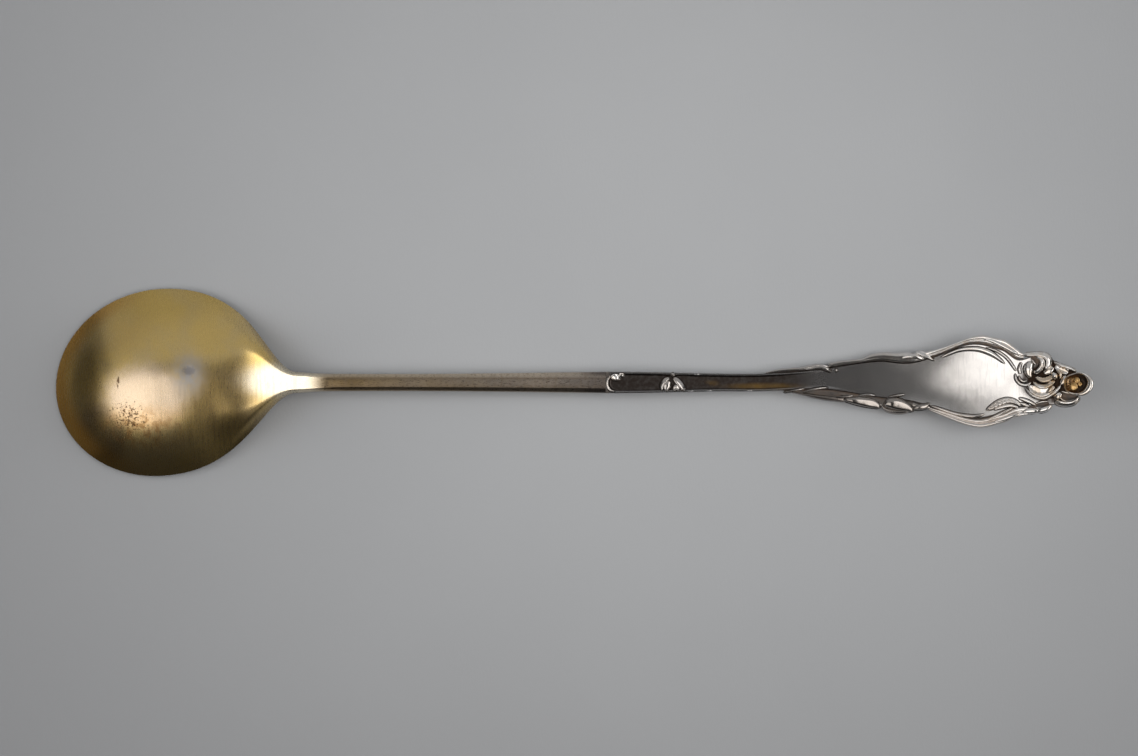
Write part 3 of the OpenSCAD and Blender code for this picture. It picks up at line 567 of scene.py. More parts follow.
# Leaves and petals: spines of places (x, y, half width, height)
SPINES = {
    "collar_leaf": [
        ("ridge", [(8.6, -1.7, 0.14, 0.30), (7.6, -1.5, 0.24, 0.40), (7.1, -0.6, 0.28, 0.45),
            (7.1, 0.3, 0.28, 0.45), (7.5, 1.0, 0.24, 0.45)]),
        ("lobe", [(7.6, 0.9, 0.30, 0.45), (8.4, 1.0, 0.70, 0.80), (9.1, 0.9, 0.64, 0.80),
            (9.8, 0.6, 0.24, 0.40)]),
        ("roll", [(9.3, 1.6, 0.20, 0.40), (10.0, 1.5, 0.35, 0.60), (10.5, 1.2, 0.20, 0.35)]),
    ],
    "bud_left": [
        ("lobe", [(18.5, -1.6, 0.40, 0.40), (18.8, -0.6, 0.80, 0.60), (19.3, 0.3, 0.40, 0.50)]),
        ("roll", [(17.7, -1.6, 0.24, 0.40), (17.8, -0.5, 0.44, 0.70), (18.5, 0.5, 0.48, 0.80),
            (19.4, 0.8, 0.30, 0.50)]),
    ],
    "bud_right": [
        ("lobe", [(20.0, -1.6, 0.30, 0.40), (20.6, -0.9, 0.60, 0.60), (21.2, -1.5, 0.30, 0.40)]),
        ("roll", [(20.0, 1.0, 0.34, 0.60), (20.8, 0.2, 0.66, 0.85), (21.7, -0.8, 0.62, 0.80),
            (22.5, -1.6, 0.24, 0.40)]),
        ("lobe", [(19.4, 1.5, 0.16, 0.40), (19.9, 1.5, 0.40, 0.60), (20.4, 1.5, 0.16, 0.40)]),
    ],
    "upper_leaf_near": [
        ("lobe", [(45.6, 2.5, 0.16, 0.50), (47.6, 2.8, 0.34, 0.80), (49.2, 2.9, 0.46, 0.90),
            (50.4, 2.5, 0.40, 0.85), (51.2, 2.0, 0.16, 0.40)]),
        ("lobe", [(51.7, 2.4, 0.14, 0.20), (52.1, 2.4, 0.30, 0.40), (52.5, 2.4, 0.12, 0.20)]),
    ],
    "upper_leaf_mid": [
        ("lobe", [(64.6, 4.7, 0.20, 0.60), (66.2, 5.1, 0.50, 0.90), (67.8, 5.0, 0.50, 0.90),
            (69.2, 4.5, 0.20, 0.50)]),
        ("roll", [(67.6, 6.0, 0.24, 0.80), (68.7, 5.6, 0.34, 0.95), (70.0, 5.0, 0.32, 0.90),
            (71.4, 4.3, 0.14, 0.50)]),
    ],
    "upper_border": [
        ("lobe", [(80.5, 8.6, 0.20, 0.80), (82.4, 8.1, 0.42, 0.95), (84.3, 7.2, 0.50, 1.00),
            (86.1, 6.2, 0.46, 1.00), (87.6, 5.3, 0.22, 0.60)]),
    ],
    "upper_rib": [
        ("ridge", [(72.5, 4.9, 0.16, 0.30), (74.3, 5.7, 0.24, 0.45), (75.9, 6.3, 0.30, 0.55),
            (77.8, 6.6, 0.38, 0.60), (80.0, 6.5, 0.46, 0.60), (82.2, 5.7, 0.46, 0.60),
            (83.8, 4.6, 0.28, 0.50), (84.9, 3.6, 0.16, 0.30)]),
        ("ridge", [(81.2, 6.9, 0.10, 0.25), (83.4, 6.1, 0.20, 0.45), (85.2, 4.8, 0.22, 0.45),
            (86.4, 3.2, 0.20, 0.40), (87.0, 2.2, 0.10, 0.25)]),
    ],
    "lower_leaf_near": [
        ("ridge", [(44.6, -2.2, 0.10, 0.40), (45.9, -1.8, 0.22, 0.60), (47.4, -1.4, 0.26, 0.70),
            (49.0, -1.1, 0.22, 0.60), (50.6, -1.0, 0.10, 0.30)]),
        ("ridge", [(41.6, -2.0, 0.08, 0.30), (43.0, -1.7, 0.18, 0.50), (44.6, -1.4, 0.20, 0.50),
            (46.0, -1.2, 0.08, 0.30)]),
        ("ridge", [(50.6, -3.0, 0.10, 0.30), (52.4, -2.9, 0.26, 0.55), (54.2, -2.8, 0.24, 0.50),
            (55.6, -2.5, 0.10, 0.30)]),
    ],
    "lower_leaf_mid": [
        ("lobe", [(53.4, -3.3, 0.30, 0.70), (55.2, -3.5, 0.74, 1.30), (57.4, -3.8, 0.98, 1.10),
            (59.3, -4.2, 0.90, 0.75), (60.9, -5.0, 0.30, 0.40)]),
        ("ridge", [(56.4, -2.6, 0.10, 0.30), (58.2, -2.4, 0.22, 0.45), (59.8, -2.6, 0.12, 0.30)]),
    ],
    "lower_bud": [
        ("lobe", [(61.3, -4.4, 0.50, 0.90), (62.6, -4.1, 1.10, 1.40), (64.2, -4.3, 1.24, 1.20),
            (65.9, -4.9, 0.86, 0.80), (67.3, -5.7, 0.24, 0.40)]),
        ("ridge", [(62.3, -2.9, 0.10, 0.30), (63.9, -2.6, 0.20, 0.40), (65.6, -2.3, 0.10, 0.25)]),
    ],
    "lower_tip": [
        ("lobe", [(67.0, -5.2, 0.20, 0.70), (68.1, -4.9, 0.56, 1.05), (69.4, -4.7, 0.54, 0.80),
            (70.5, -4.1, 0.18, 0.40)]),
    ],
    "lower_border": [
        ("ridge", [(81.2, -7.4, 0.10, 0.50), (83.1, -6.6, 0.30, 0.80), (84.9, -5.7, 0.30, 0.80),
            (86.5, -4.9, 0.12, 0.40)]),
        ("lobe", [(82.4, -7.9, 0.20, 0.70), (84.4, -7.2, 0.44, 0.90), (86.4, -6.5, 0.46, 0.90),
            (88.0, -6.0, 0.20, 0.50)]),
    ],
    "lower_rib": [
        ("ridge", [(70.4, -4.5, 0.14, 0.30), (72.7, -5.3, 0.24, 0.45), (75.1, -6.1, 0.28, 0.55),
            (77.3, -6.5, 0.30, 0.55), (79.2, -6.6, 0.28, 0.50), (81.0, -6.2, 0.14, 0.30)]),
    ],
    "curl_leaf": [
        ("hollow", [(90.6, -4.5, 0.40, 0.30), (92.0, -4.4, 0.80, 0.40), (93.2, -4.0, 0.40, 0.30)]),
        ("lobe", [(88.0, -5.9, 0.24, 0.60), (89.2, -5.6, 0.56, 0.85), (90.4, -5.5, 0.60, 0.90),
            (91.4, -5.6, 0.30, 0.60)]),
        ("lobe", [(90.8, -5.7, 0.30, 0.60), (91.8, -5.4, 0.56, 0.90), (92.9, -5.0, 0.52, 0.90),
            (93.8, -4.3, 0.24, 0.50)]),
    ],
    "shoulder_leaf": [
        ("leaf", [(81.2, -5.5, 0.20, 0.40), (82.4, -4.8, 0.50, 0.65), (83.8, -4.0, 0.65, 0.75),
            (85.4, -3.5, 0.60, 0.75), (86.9, -3.8, 0.45, 0.65), (87.9, -4.6, 0.20, 0.40)]),
        ("ridge", [(82.6, -5.4, 0.14, 0.40), (84.2, -4.8, 0.34, 0.55), (85.9, -4.5, 0.36, 0.55),
            (87.5, -4.9, 0.16, 0.40)]),
        ("ridge", [(87.4, -3.0, 0.14, 0.30), (88.6, -3.4, 0.32, 0.45), (89.8, -3.9, 0.30, 0.45),
            (90.8, -4.5, 0.14, 0.30)]),
        ("ridge", [(87.6, -4.0, 0.14, 0.30), (88.6, -4.3, 0.30, 0.45), (89.6, -4.7, 0.14, 0.30)]),
    ],
    "round_petal": [
        ("ridge", [(88.0, 4.0, 0.16, 0.35), (87.6, 2.7, 0.30, 0.50), (87.8, 1.6, 0.20, 0.40)]),
        ("lobe", [(90.0, 4.1, 0.40, 0.60), (89.3, 2.8, 0.92, 0.95), (89.4, 1.7, 0.70, 0.80),
            (89.8, 0.9, 0.30, 0.50)]),
        ("ridge", [(86.8, 1.8, 0.16, 0.40), (87.0, 0.6, 0.24, 0.50), (87.8, -0.3, 0.26, 0.55),
            (89.0, -0.5, 0.26, 0.55), (89.9, 0.1, 0.16, 0.40)]),
        ("ridge", [(87.5, 1.4, 0.12, 0.35), (87.7, 0.7, 0.20, 0.45), (88.4, 0.2, 0.20, 0.45),
            (89.2, 0.4, 0.12, 0.35)]),
    ],
    "scroll_petal": [
        ("hollow", [(89.8, 4.9, 0.40, 0.30), (90.7, 4.6, 0.80, 0.30), (91.2, 3.6, 0.60, 0.30)]),
        ("roll", [(88.2, 5.4, 0.32, 0.80), (89.8, 5.5, 0.42, 1.00), (91.5, 5.5, 0.50, 1.15),
            (92.7, 5.1, 0.60, 1.25), (93.2, 4.3, 0.62, 1.25), (93.1, 3.3, 0.56, 1.15),
            (92.4, 2.0, 0.30, 0.80)]),
        ("roll", [(90.6, 5.2, 0.28, 0.90), (91.6, 4.7, 0.50, 1.25), (92.0, 3.7, 0.56, 1.35),
            (91.6, 2.7, 0.52, 1.25), (90.8, 2.0, 0.42, 1.00), (90.3, 2.3, 0.22, 0.70)]),
    ],
    "fall_petal": [
        ("dish", [(89.4, -0.6, 0.30, 0.30), (90.4, -1.4, 0.85, 0.45), (91.8, -1.9, 1.00, 0.45),
            (93.2, -1.5, 0.80, 0.40), (94.2, -0.8, 0.30, 0.30)]),
        ("ridge", [(88.6, -0.9, 0.18, 0.50), (89.8, -2.3, 0.28, 0.80), (91.2, -3.0, 0.32, 0.90),
            (92.5, -3.0, 0.34, 0.95), (93.9, -2.2, 0.36, 0.95), (95.0, -1.1, 0.32, 0.85),
            (95.5, -0.4, 0.18, 0.50)]),
        ("lobe", [(92.7, -2.2, 0.20, 0.50), (93.4, -1.5, 0.48, 0.80), (94.3, -0.7, 0.34, 0.70)]),
    ],
    "heart_petal": [
        ("lobe", [(92.2, 1.7, 0.40, 0.50), (93.2, 2.3, 0.74, 0.70), (94.1, 3.0, 0.40, 0.50)]),
        ("lobe", [(95.4, -0.4, 0.40, 0.60), (96.0, 0.4, 0.66, 0.75), (96.3, 1.4, 0.40, 0.60)]),
        ("dish", [(94.4, 3.2, 0.40, 0.50), (95.6, 2.5, 0.74, 0.65), (96.9, 2.0, 0.50, 0.55)]),
        ("roll", [(90.2, 0.2, 0.28, 0.60), (91.1, -0.6, 0.46, 0.95), (92.4, -0.8, 0.52, 1.05),
            (93.5, -0.2, 0.50, 1.05), (94.4, 0.5, 0.28, 0.80)]),
        ("roll", [(90.6, 1.1, 0.32, 0.70), (91.9, 0.5, 0.52, 1.00), (93.1, 0.7, 0.54, 1.10),
            (93.9, 1.4, 0.34, 0.90)]),
        ("lobe", [(93.7, 1.8, 0.44, 1.00), (94.2, 1.3, 0.70, 1.30), (94.7, 0.8, 0.44, 1.00)]),
        ("ridge", [(94.6, 2.5, 0.22, 0.70), (95.3, 1.7, 0.40, 0.95), (95.3, 0.6, 0.22, 0.70)]),
        ("ridge", [(94.1, 4.0, 0.22, 0.70), (95.4, 3.3, 0.36, 1.00), (97.0, 2.8, 0.36, 1.05),
            (98.4, 2.1, 0.22, 0.70)]),
    ],
    "lower_petal": [
        ("lobe", [(94.1, -3.0, 0.40, 0.50), (94.9, -2.7, 0.66, 0.75), (95.5, -2.0, 0.40, 0.60)]),
        ("hollow", [(95.2, -1.9, 0.50, 0.40), (96.2, -2.7, 1.00, 0.45), (97.5, -2.9, 0.95, 0.45),
            (98.8, -2.4, 0.40, 0.40)]),
        ("roll", [(98.9, -2.6, 0.24, 0.60), (98.5, -3.4, 0.42, 0.95), (97.6, -4.0, 0.50, 1.10),
            (96.3, -4.2, 0.54, 1.20), (95.1, -4.0, 0.54, 1.15), (94.2, -3.6, 0.34, 0.80)]),
    ],
}


def relief(node):
    piece = Piece(node)
    if node in BORDERS:
        start, end, side, widths, ridges = BORDERS[node]
        border(piece, X_BLADE + start * BLADE_LENGTH, X_BLADE + end * BLADE_LENGTH, side, widths, ridges)
    for kind, spine in SPINES.get(node, []):
        sweep(piece, kind, spine)
    return piece


def plate_height(x, y):
    return float(plate_top(np.array(x), np.array(y)))


CUP_SLOPE = plate_height(X_CUP, CUP_Y) - plate_height(X_CUP - 1, CUP_Y)


def cup_seat(x):
    return plate_height(X_CUP, CUP_Y) + CUP_SLOPE * (x - X_CUP) + FILM


CUP_POINTS = 96
# Section of the cup from its foot over the rim to its floor: shares of the radius, the wall and the height
CUP_SECTION = np.array([
    (0.58, 0, 0.0), (0.8, 0, 0.22), (0.9, 0, 0.48), (0.95, 0, 0.7), (0.985, 0, 0.86), (0.985, -0.2, 0.96),
    (0.98, -0.5, 1.0), (0.98, -0.8, 0.96), (0.98, -1, 0.86), (0.96, -1.15, 0.66), (0.6, 0, 0.42),
    (0.45, 0, 0.3), (0.15, 0, 0.24)])
# Rows of that section where its outside and its rim end
LAST_OUTER_ROW = 3
LAST_RIM_ROW = 8


def throat_cup():
    """Open cup whose waved rim is thick and high towards the tip, ribbed like the throat of a blossom."""
    a = np.linspace(0, 2 * np.pi, CUP_POINTS, endpoint=False)[None, :]
    far = 0.5 + 0.5 * np.cos(a + 0.35)
    wall = 0.1 + 0.3 * far ** 2
    wave = 0.08 * (1 - far) * (0.5 - 0.5 * np.cos(5 * a))
    share, inward, height = CUP_SECTION.T[:, :, None]
    out = share + inward * wall - wave * ease(height * 1.6 - 0.5) + 0.006 * np.cos(20 * a) * (height > 0.3)
    x = X_CUP + CUP_LENGTH / 2 * out * np.cos(a)
    y = CUP_Y + CUP_WIDTH / 2 * out * np.sin(a)
    z = cup_seat(x) + CUP_HEIGHT * height * mix(1.0, 0.55 + 0.45 * far ** 0.6 - wave, height)
    row = np.arange(len(CUP_SECTION))[:, None]
    outside = np.clip(0.9 - height, 0, 1)
    rim = 0.85 * (1 - far) ** 1.4
    inside = 0.55 + 0.45 * far
    recess = np.where(row > LAST_RIM_ROW, inside, np.where(row > LAST_OUTER_ROW, rim, outside))
    piece = Piece("throat_cup")
    piece.skin(np.stack([x, y, z], -1), recess)
    return piece


STAMEN_POINTS = 28
# Section of a stamen from its foot to its head: radius in millimetres and share of the height
STAMEN_SECTION = [
    (0.3, 0.0), (0.2, 0.25), (0.19, 0.5), (0.27, 0.62), (0.38, 0.72), (0.42, 0.82), (0.38, 0.92),
    (0.25, 0.98), (0.08, 1.0)]
# Stamens: place as shares of the cup, lean in millimetres, factors of the height and of the radius
STAMENS = [(-0.17, -0.1, 0.1, 1.0, 2.0), (-0.08, 0.15, 0.2, 0.9, 1.5), (0.08, 0.0, -0.2, 0.75, 1.1)]


def stamens():
    """Small rods with rounded heads on the floor of the cup."""
    piece = Piece("stamens")
    a = np.linspace(0, 2 * np.pi, STAMEN_POINTS, endpoint=False)
    recess = np.array([[0.9 - 0.9 * height] for radius, height in STAMEN_SECTION])
    for share_x, share_y, lean, tall, wide in STAMENS:
        rows = []
        for radius, height in STAMEN_SECTION:
            x = X_CUP + share_x * CUP_LENGTH + lean * height + radius * wide * np.cos(a)
            y = CUP_Y + share_y * CUP_WIDTH + radius * wide * np.sin(a)
            z = cup_seat(x) + CUP_FLOOR + FILM + STAMEN_HEIGHT * height * tall
            rows.append(np.stack([x, y, z], -1))
        piece.skin(np.array(rows), recess)
    return piece


# Materials

# Sockets of a Mix node for colours: factor, two colours, result
MIX_FACTOR, MIX_A, MIX_B, MIX_RESULT = 0, 6, 7, 2


class Shader:
    """Writes a node material from its textures to its surface."""

    def __init__(self, name):
        self.material = bpy.data.materials.new(name)
        self.material.use_nodes = True
        self.tree = self.material.node_tree
        self.tree.nodes.clear()
        self.place = self.node("TexCoord").outputs["Object"]
        self.recess = self.node("Attribute", attribute_name="recess").outputs["Fac"]

    def node(self, kind, inputs=(), **settings):
        made = self.tree.nodes.new("ShaderNode" + kind)
        for key, value in settings.items():
            setattr(made, key, value)
        for key, value in dict(inputs).items():
            if isinstance(value, bpy.types.NodeSocket):
                self.tree.links.new(value, made.inputs[key])
            else:
                made.inputs[key].default_value = value
        return made

    def math(self, operation, a, b=0.0):
        return self.node("Math", {0: a, 1: b}, operation=operation).outputs[0]

    def plus(self, a, b):
        return self.math("ADD", a, b)

    def times(self, a, b):
        return self.math("MULTIPLY", a, b)

    def noise(self, size, stretch=(1, 1, 1), detail=4.0, roughness=0.55):
        """Noise with spots of about the given size in millimetres."""
        placed = self.node("Mapping", {"Vector": self.place, "Scale": stretch}).outputs[0]
        return self.node("TexNoise", {"Vector": placed, "Scale": 1 / (size * MM), "Detail": detail,
                                      "Roughness": roughness}).outputs["Fac"]

    def step(self, value, low, high, out_low=0.0, out_high=1.0):
        """Smooth step of a value from low to high."""
        return self.node("MapRange", {"Value": value, "From Min": low, "From Max": high, "To Min": out_low,
                                      "To Max": out_high}, interpolation_type="SMOOTHSTEP").outputs[0]

    def spot(self, x, y, reach_x, reach_y):
        """1 in the middle of an oval spot and 0 at its edge, by place in millimetres."""
        moved = self.node("VectorMath", {0: self.place, 1: (-x * MM, -y * MM, 0)}, operation="ADD").outputs[0]
        scaled = self.node("VectorMath", {0: moved, 1: (1 / (reach_x * MM), 1 / (reach_y * MM), 0)},
                           operation="MULTIPLY").outputs[0]
        far = self.node("VectorMath", {0: scaled}, operation="LENGTH").outputs["Value"]
        return self.step(far, 1.0, 0.0)

    def axis(self, name):
        return self.node("SeparateXYZ", {0: self.place}).outputs[name]

    def blend(self, factor, a, b):
        made = self.node("Mix", data_type="RGBA")
        for index, value in ((MIX_FACTOR, factor), (MIX_A, a), (MIX_B, b)):
            if isinstance(value, bpy.types.NodeSocket):
                self.tree.links.new(value, made.inputs[index])
            else:
                made.inputs[index].default_value = value if index == MIX_FACTOR else (*value, 1)
        return made.outputs[MIX_RESULT]

    def bump(self, height, distance, normal=None):
        """Bumps of the given height in millimetres, over those of another normal."""
        inputs = {"Height": height, "Distance": distance * MM, "Strength": 1.0}
        if normal is not None:
            inputs["Normal"] = normal
        return self.node("Bump", inputs).outputs[0]

    def surface(self, color, roughness, normal, metallic=1.0):
        shader = self.node("BsdfPrincipled", {"Base Color": color, "Roughness": roughness, "Normal": normal,
                                              "Metallic": metallic})
        out = self.node("OutputMaterial")
        self.tree.links.new(shader.outputs[0], out.inputs["Surface"])
        return self.material


# Painted light on the bowl, as tinted areas: middle and reach in millimetres, share, colour. The first two
# tints are tarnish and painted shade on the upper edge; the next four are painted shade beside the highlight,
# on the dark band by the free end and on the lower part; the last, pale tint is a painted highlight on the
# neck.
BOWL_TARNISH_AND_PAINTED_LIGHT = [
    (-93, 12, 17, 11, 0.5, (0.55, 0.38, 0.15)),
    (-82, 20, 26, 13, 0.55, (0.6, 0.42, 0.12)),
    (-68, -4, 11, 11, 0.65, (0.46, 0.33, 0.15)),
    (-95.5, -2, 4.5, 15, 0.7, (0.36, 0.25, 0.1)),
    (-84, -20, 26, 12, 0.6, (0.4, 0.28, 0.12)),
    (-92, -10, 8, 9, 0.75, (0.2, 0.13, 0.06)),
    (-57, 0.3, 11, 5, 0.9, (0.95, 0.87, 0.7))]
# Middles of the dark bruise in the dent and of the pitted patch
BRUISE = (-74.6, 2.3)
PITTED = (-86.8, -7)


def gilt_bowl():
    s = Shader("worn_gilt")
    brushed = s.noise(0.14, (1, 0.12, 0.12), 3.0)
    speckled = s.noise(0.32, (1, 0.6, 0.5), 5.0, 0.7)
    cloudy = s.noise(9, (1, 1, 0.3), 3.0)
    mottled = s.noise(1.2, (1, 0.8, 0.5), 4.0)
    color = s.blend(s.step(cloudy, 0.35, 0.65), (0.82, 0.59, 0.21), (0.8, 0.6, 0.26))
    # Tarnish, painted shade and a painted highlight, from the table above
    for x, y, reach_x, reach_y, share, tint in BOWL_TARNISH_AND_PAINTED_LIGHT:
        uneven = s.plus(s.spot(x, y, reach_x, reach_y), s.times(cloudy, 0.3))
        color = s.blend(s.step(uneven, 0.1, 0.75, 0.0, share), color, tint)
    # Worn gilt in the middle of the back, which is also a painted highlight: lighter and pinker where the
    # left softbox's highlight falls, and more orange on its lower part
    worn = s.step(s.plus(s.spot(-83, -3, 13, 10), s.times(mottled, 0.3)), 0.2, 0.75)
    bare_and_highlight_tint = s.blend(s.step(s.axis("Y"), -0.003, -0.009), (0.86, 0.69, 0.5), (1.0, 0.68, 0.36))
    color = s.blend(worn, color, bare_and_highlight_tint)
    color = s.blend(s.step(speckled, 0.45, 0.72, 0.0, 0.2), color, (0.46, 0.31, 0.14))
    streaks = s.step(s.noise(0.5, (1, 0.08, 0.08), 3.0), 0.45, 0.65)
    streaks = s.times(s.spot(-68, -7, 20, 17), streaks)
    color = s.blend(s.times(streaks, 0.5), color, (0.4, 0.28, 0.13))
    free_end = s.step(s.axis("X"), -0.08, -0.098)
    rim = s.times(s.step(s.recess, 0.1, 0.8), s.step(cloudy, 0.2, 0.6, 0.6, 1.0))
    color = s.blend(s.times(rim, s.times(free_end, 0.85)), color, (0.56, 0.29, 0.06))
    grey = s.times(s.spot(-74.6, 1.6, 5.0, 6.5), s.step(mottled, 0.3, 0.6, 0.55, 0.95))
    color = s.blend(grey, color, (0.55, 0.54, 0.545))
    bruise = s.step(s.plus(s.spot(*BRUISE, 2.2, 1.7), s.times(s.noise(0.5), 1.2)), 0.85, 1.25)
    color = s.blend(s.times(bruise, s.spot(*BRUISE, 2.6, 2.1)), color, (0.38, 0.36, 0.36))
    crowded = s.plus(s.noise(0.45, detail=6, roughness=0.7), s.times(s.spot(*PITTED, 7, 6), 0.16))
    pits = s.times(s.step(s.spot(*PITTED, 6.5, 6), 0.02, 0.3), s.step(crowded, 0.66, 0.72))
    stain = s.times(s.spot(-84, -9, 12, 6), s.step(mottled, 0.44, 0.62, 0.0, 0.8))
    color = s.blend(stain, color, (0.45, 0.24, 0.08))
    scratch = s.times(s.step(s.spot(-88.6, 0.1, 0.4, 1.9), 0.1, 0.5), s.step(s.noise(0.5), 0.42, 0.5))
    marks = s.math("MAXIMUM", pits, scratch)
    color = s.blend(s.times(marks, 0.85), color, (0.14, 0.07, 0.03))
    color = s.blend(s.step(s.recess, 1.0, 1.3), color, (0.22, 0.13, 0.05))
    roughness = s.plus(s.step(brushed, 0.3, 0.7, 0.26, 0.3), s.times(grey, 0.1))
    normal = s.bump(brushed, 0.0003)
    normal = s.bump(marks, -0.02, normal)
    return s.surface(color, roughness, normal)


def gilt_stem():
    s = Shader("gilt_over_silver")
    brushed = s.noise(0.12, (0.15, 1, 1), 3.0)
    cloudy = s.noise(3.5, (0.6, 1, 1), 4.0)
    faded = s.step(s.plus(s.axis("X"), s.times(cloudy, 0.03)), -0.035, 0.018)
    color = s.blend(faded, (0.43, 0.325, 0.195), (0.4, 0.355, 0.315))
    # Painted shade: darker brown just past the highlight on the neck
    color = s.blend(s.times(s.spot(-44, 0, 8, 5), 0.8), color, (0.33, 0.23, 0.11))
    color = s.blend(s.times(s.spot(-6, -0.4, 7, 4), 0.6), color, (0.62, 0.52, 0.42))
    # Painted reflection: the upper bevel is paler where it mirrors the pale wall, with a painted dark line
    # along the edge of that bevel
    color = s.blend(s.step(s.axis("Y"), 0.0007, 0.0015, 0.0, 0.7), color, (0.68, 0.58, 0.46))
    crest_shade_line = s.step(s.math("ABSOLUTE", s.math("SUBTRACT", s.axis("Y"), 0.0008)), 0.0004, 0.0, 0.0, 0.6)
    color = s.blend(crest_shade_line, color, (0.25, 0.19, 0.13))
    worn = s.step(s.noise(0.9, (1.6, 0.5, 0.5)), 0.45, 0.7)
    color = s.blend(s.times(worn, 0.45), color, (0.34, 0.26, 0.18))
    # Painted shade: the lower half of the stem is darker, away from the neck
    low = s.times(s.step(s.axis("Y"), 0.0001, -0.0012), s.step(s.axis("X"), -0.052, -0.044))
    color = s.blend(s.times(low, 0.6), color, (0.24, 0.18, 0.12))
    color = s.blend(s.step(s.axis("X"), -0.012, 0.007, 0.0, 0.3), color, (0.24, 0.2, 0.18))
    color = s.blend(s.step(s.axis("X"), 0.0, 0.0066, 0.0, 0.3), color, (0.16, 0.14, 0.13))
    edges = s.step(s.math("ABSOLUTE", s.axis("Y")), 0.0009, 0.0018)
    seam = s.times(edges, s.step(s.axis("X"), 0.0, 0.0062, 0.0, 0.85))
    color = s.blend(seam, color, (0.13, 0.11, 0.1))
    # Painted highlight: pale colour at the neck end, matching the bowl's painted neck highlight
    color = s.blend(s.step(s.axis("X"), -0.0475, -0.0525), color, (0.935, 0.84, 0.655))
    return s.surface(color, s.step(brushed, 0.3, 0.7, 0.26, 0.36), s.bump(brushed, 0.002))


def silver_plate():
    s = Shader("satin_silver")
    brushed = s.noise(0.1, (0.2, 1, 1), 3.0)
    cross = s.noise(0.12, (1, 0.08, 1), 3.0)
    cloudy = s.noise(2.2, (0.8, 1, 1), 4.0)
    color = s.blend(s.step(cloudy, 0.3, 0.7), (0.95, 0.93, 0.91), (0.87, 0.85, 0.835))
    # Painted shade: the plate darkens towards the shank, standing in for the dim room that its flat top
    # mirrors
    color = s.blend(s.step(s.axis("X"), 0.086, 0.05, 0.0, 0.9), color, (0.2, 0.197, 0.2))
    satin = s.noise(0.3, (1, 0.07, 1), 4.0, 0.65)
    color = s.blend(s.step(satin, 0.5, 0.72, 0.0, 0.3), color, (0.45, 0.44, 0.445))
    tarnish = s.noise(4.5, (0.7, 1, 1), 5.0, 0.6)
    color = s.blend(s.step(tarnish, 0.48, 0.68, 0.0, 0.2), color, (0.42, 0.395, 0.37))
    color = s.blend(s.step(s.axis("X"), 0.0078, 0.0071), color, (0.45, 0.4, 0.36))
    dark = s.times(s.step(s.recess, 0.1, 0.8), s.step(s.noise(0.7), 0.25, 0.65, 0.8, 1.0))
    color = s.blend(dark, color, (0.06, 0.048, 0.042))
    color = s.blend(s.step(s.recess, 0.88, 1.0), color, (0.025, 0.016, 0.011))
    channel = s.times(s.spot(38, -0.75, 11, 1.0), s.step(cloudy, 0.3, 0.6, 0.5, 1.0))
    patch = s.times(s.spot(27.3, -0.2, 2.6, 0.9), s.step(cloudy, 0.35, 0.6))
    gold = s.math("MAXIMUM", s.times(channel, 0.75), s.times(patch, 0.45))
    color = s.blend(gold, color, (0.3, 0.18, 0.05))
    roughness = s.plus(s.step(brushed, 0.3, 0.7, 0.23, 0.25), s.times(s.recess, 0.1))
    normal = s.bump(s.plus(brushed, s.times(cross, 0.6)), 0.00025)
    return s.surface(color, roughness, normal)


def silver_relief():
    s = Shader("polished_relief")
    fine = s.noise(0.16, detail=3.0)
    cloudy = s.noise(1.6, detail=3.0)
    along = s.axis("X")
    across = s.axis("Y")
    color = s.blend(s.step(cloudy, 0.35, 0.7), (0.92, 0.9, 0.88), (0.86, 0.8, 0.74))
    # Painted shade: the relief darkens towards the shank and on its lower side, most on the lower buds and
    # the first lower leaf
    near = s.times(s.step(along, 0.075, 0.05, 0.0, 0.6), s.step(along, 0.011, 0.013))
    color = s.blend(near, color, (0.3, 0.275, 0.26))
    below = s.times(s.step(across, -0.002, -0.0045), s.step(along, 0.089, 0.082, 0.0, 0.4))
    color = s.blend(below, color, (0.5, 0.42, 0.36))
    lower_buds_shade = s.times(s.step(across, -0.002, -0.0035), s.step(along, 0.073, 0.069, 0.0, 0.7))
    color = s.blend(lower_buds_shade, color, (0.24, 0.22, 0.205))
    first_leaf_shade = s.times(s.step(across, -0.001, -0.002), s.step(along, 0.056, 0.052, 0.0, 0.7))
    color = s.blend(first_leaf_shade, color, (0.12, 0.1, 0.088))
    blossom = s.times(s.spot(94.5, -0.4, 9, 6), s.step(cloudy, 0.42, 0.6))
    color = s.blend(s.times(blossom, 0.8), color, (0.6, 0.45, 0.28))
    uneven = s.times(s.math("SUBTRACT", cloudy, 0.5), 0.5)
    dark = s.step(s.plus(s.recess, uneven), 0.3, 0.95)
    tarnish = s.blend(s.step(cloudy, 0.4, 0.6), (0.09, 0.08, 0.074), (0.15, 0.112, 0.088))
    color = s.blend(dark, color, tarnish)
    throat = s.times(s.step(s.spot(97.8, -0.3, 2.8, 2.4), 0.0, 0.4), s.step(s.recess, 0.25, 0.6))
    throat = s.times(throat, s.step(along, 0.0996, 0.0976))
    color = s.blend(s.times(throat, 0.85), color, (0.42, 0.25, 0.09))
    roughness = s.plus(s.step(fine, 0.3, 0.7, 0.15, 0.22), s.times(dark, 0.25))
    return s.surface(color, roughness, s.bump(fine, 0.002))


def gilt_stamens():
    s = Shader("gilt_stamens")
    cloudy = s.noise(0.5, detail=3.0)
    color = s.blend(s.step(cloudy, 0.35, 0.65), (0.68, 0.46, 0.21), (0.36, 0.21, 0.08))
    color = s.blend(s.step(s.recess, 0.2, 0.8), color, (0.1, 0.055, 0.025))
    return s.surface(color, s.step(cloudy, 0.3, 0.7, 0.2, 0.35), s.bump(s.noise(0.1), 0.002))


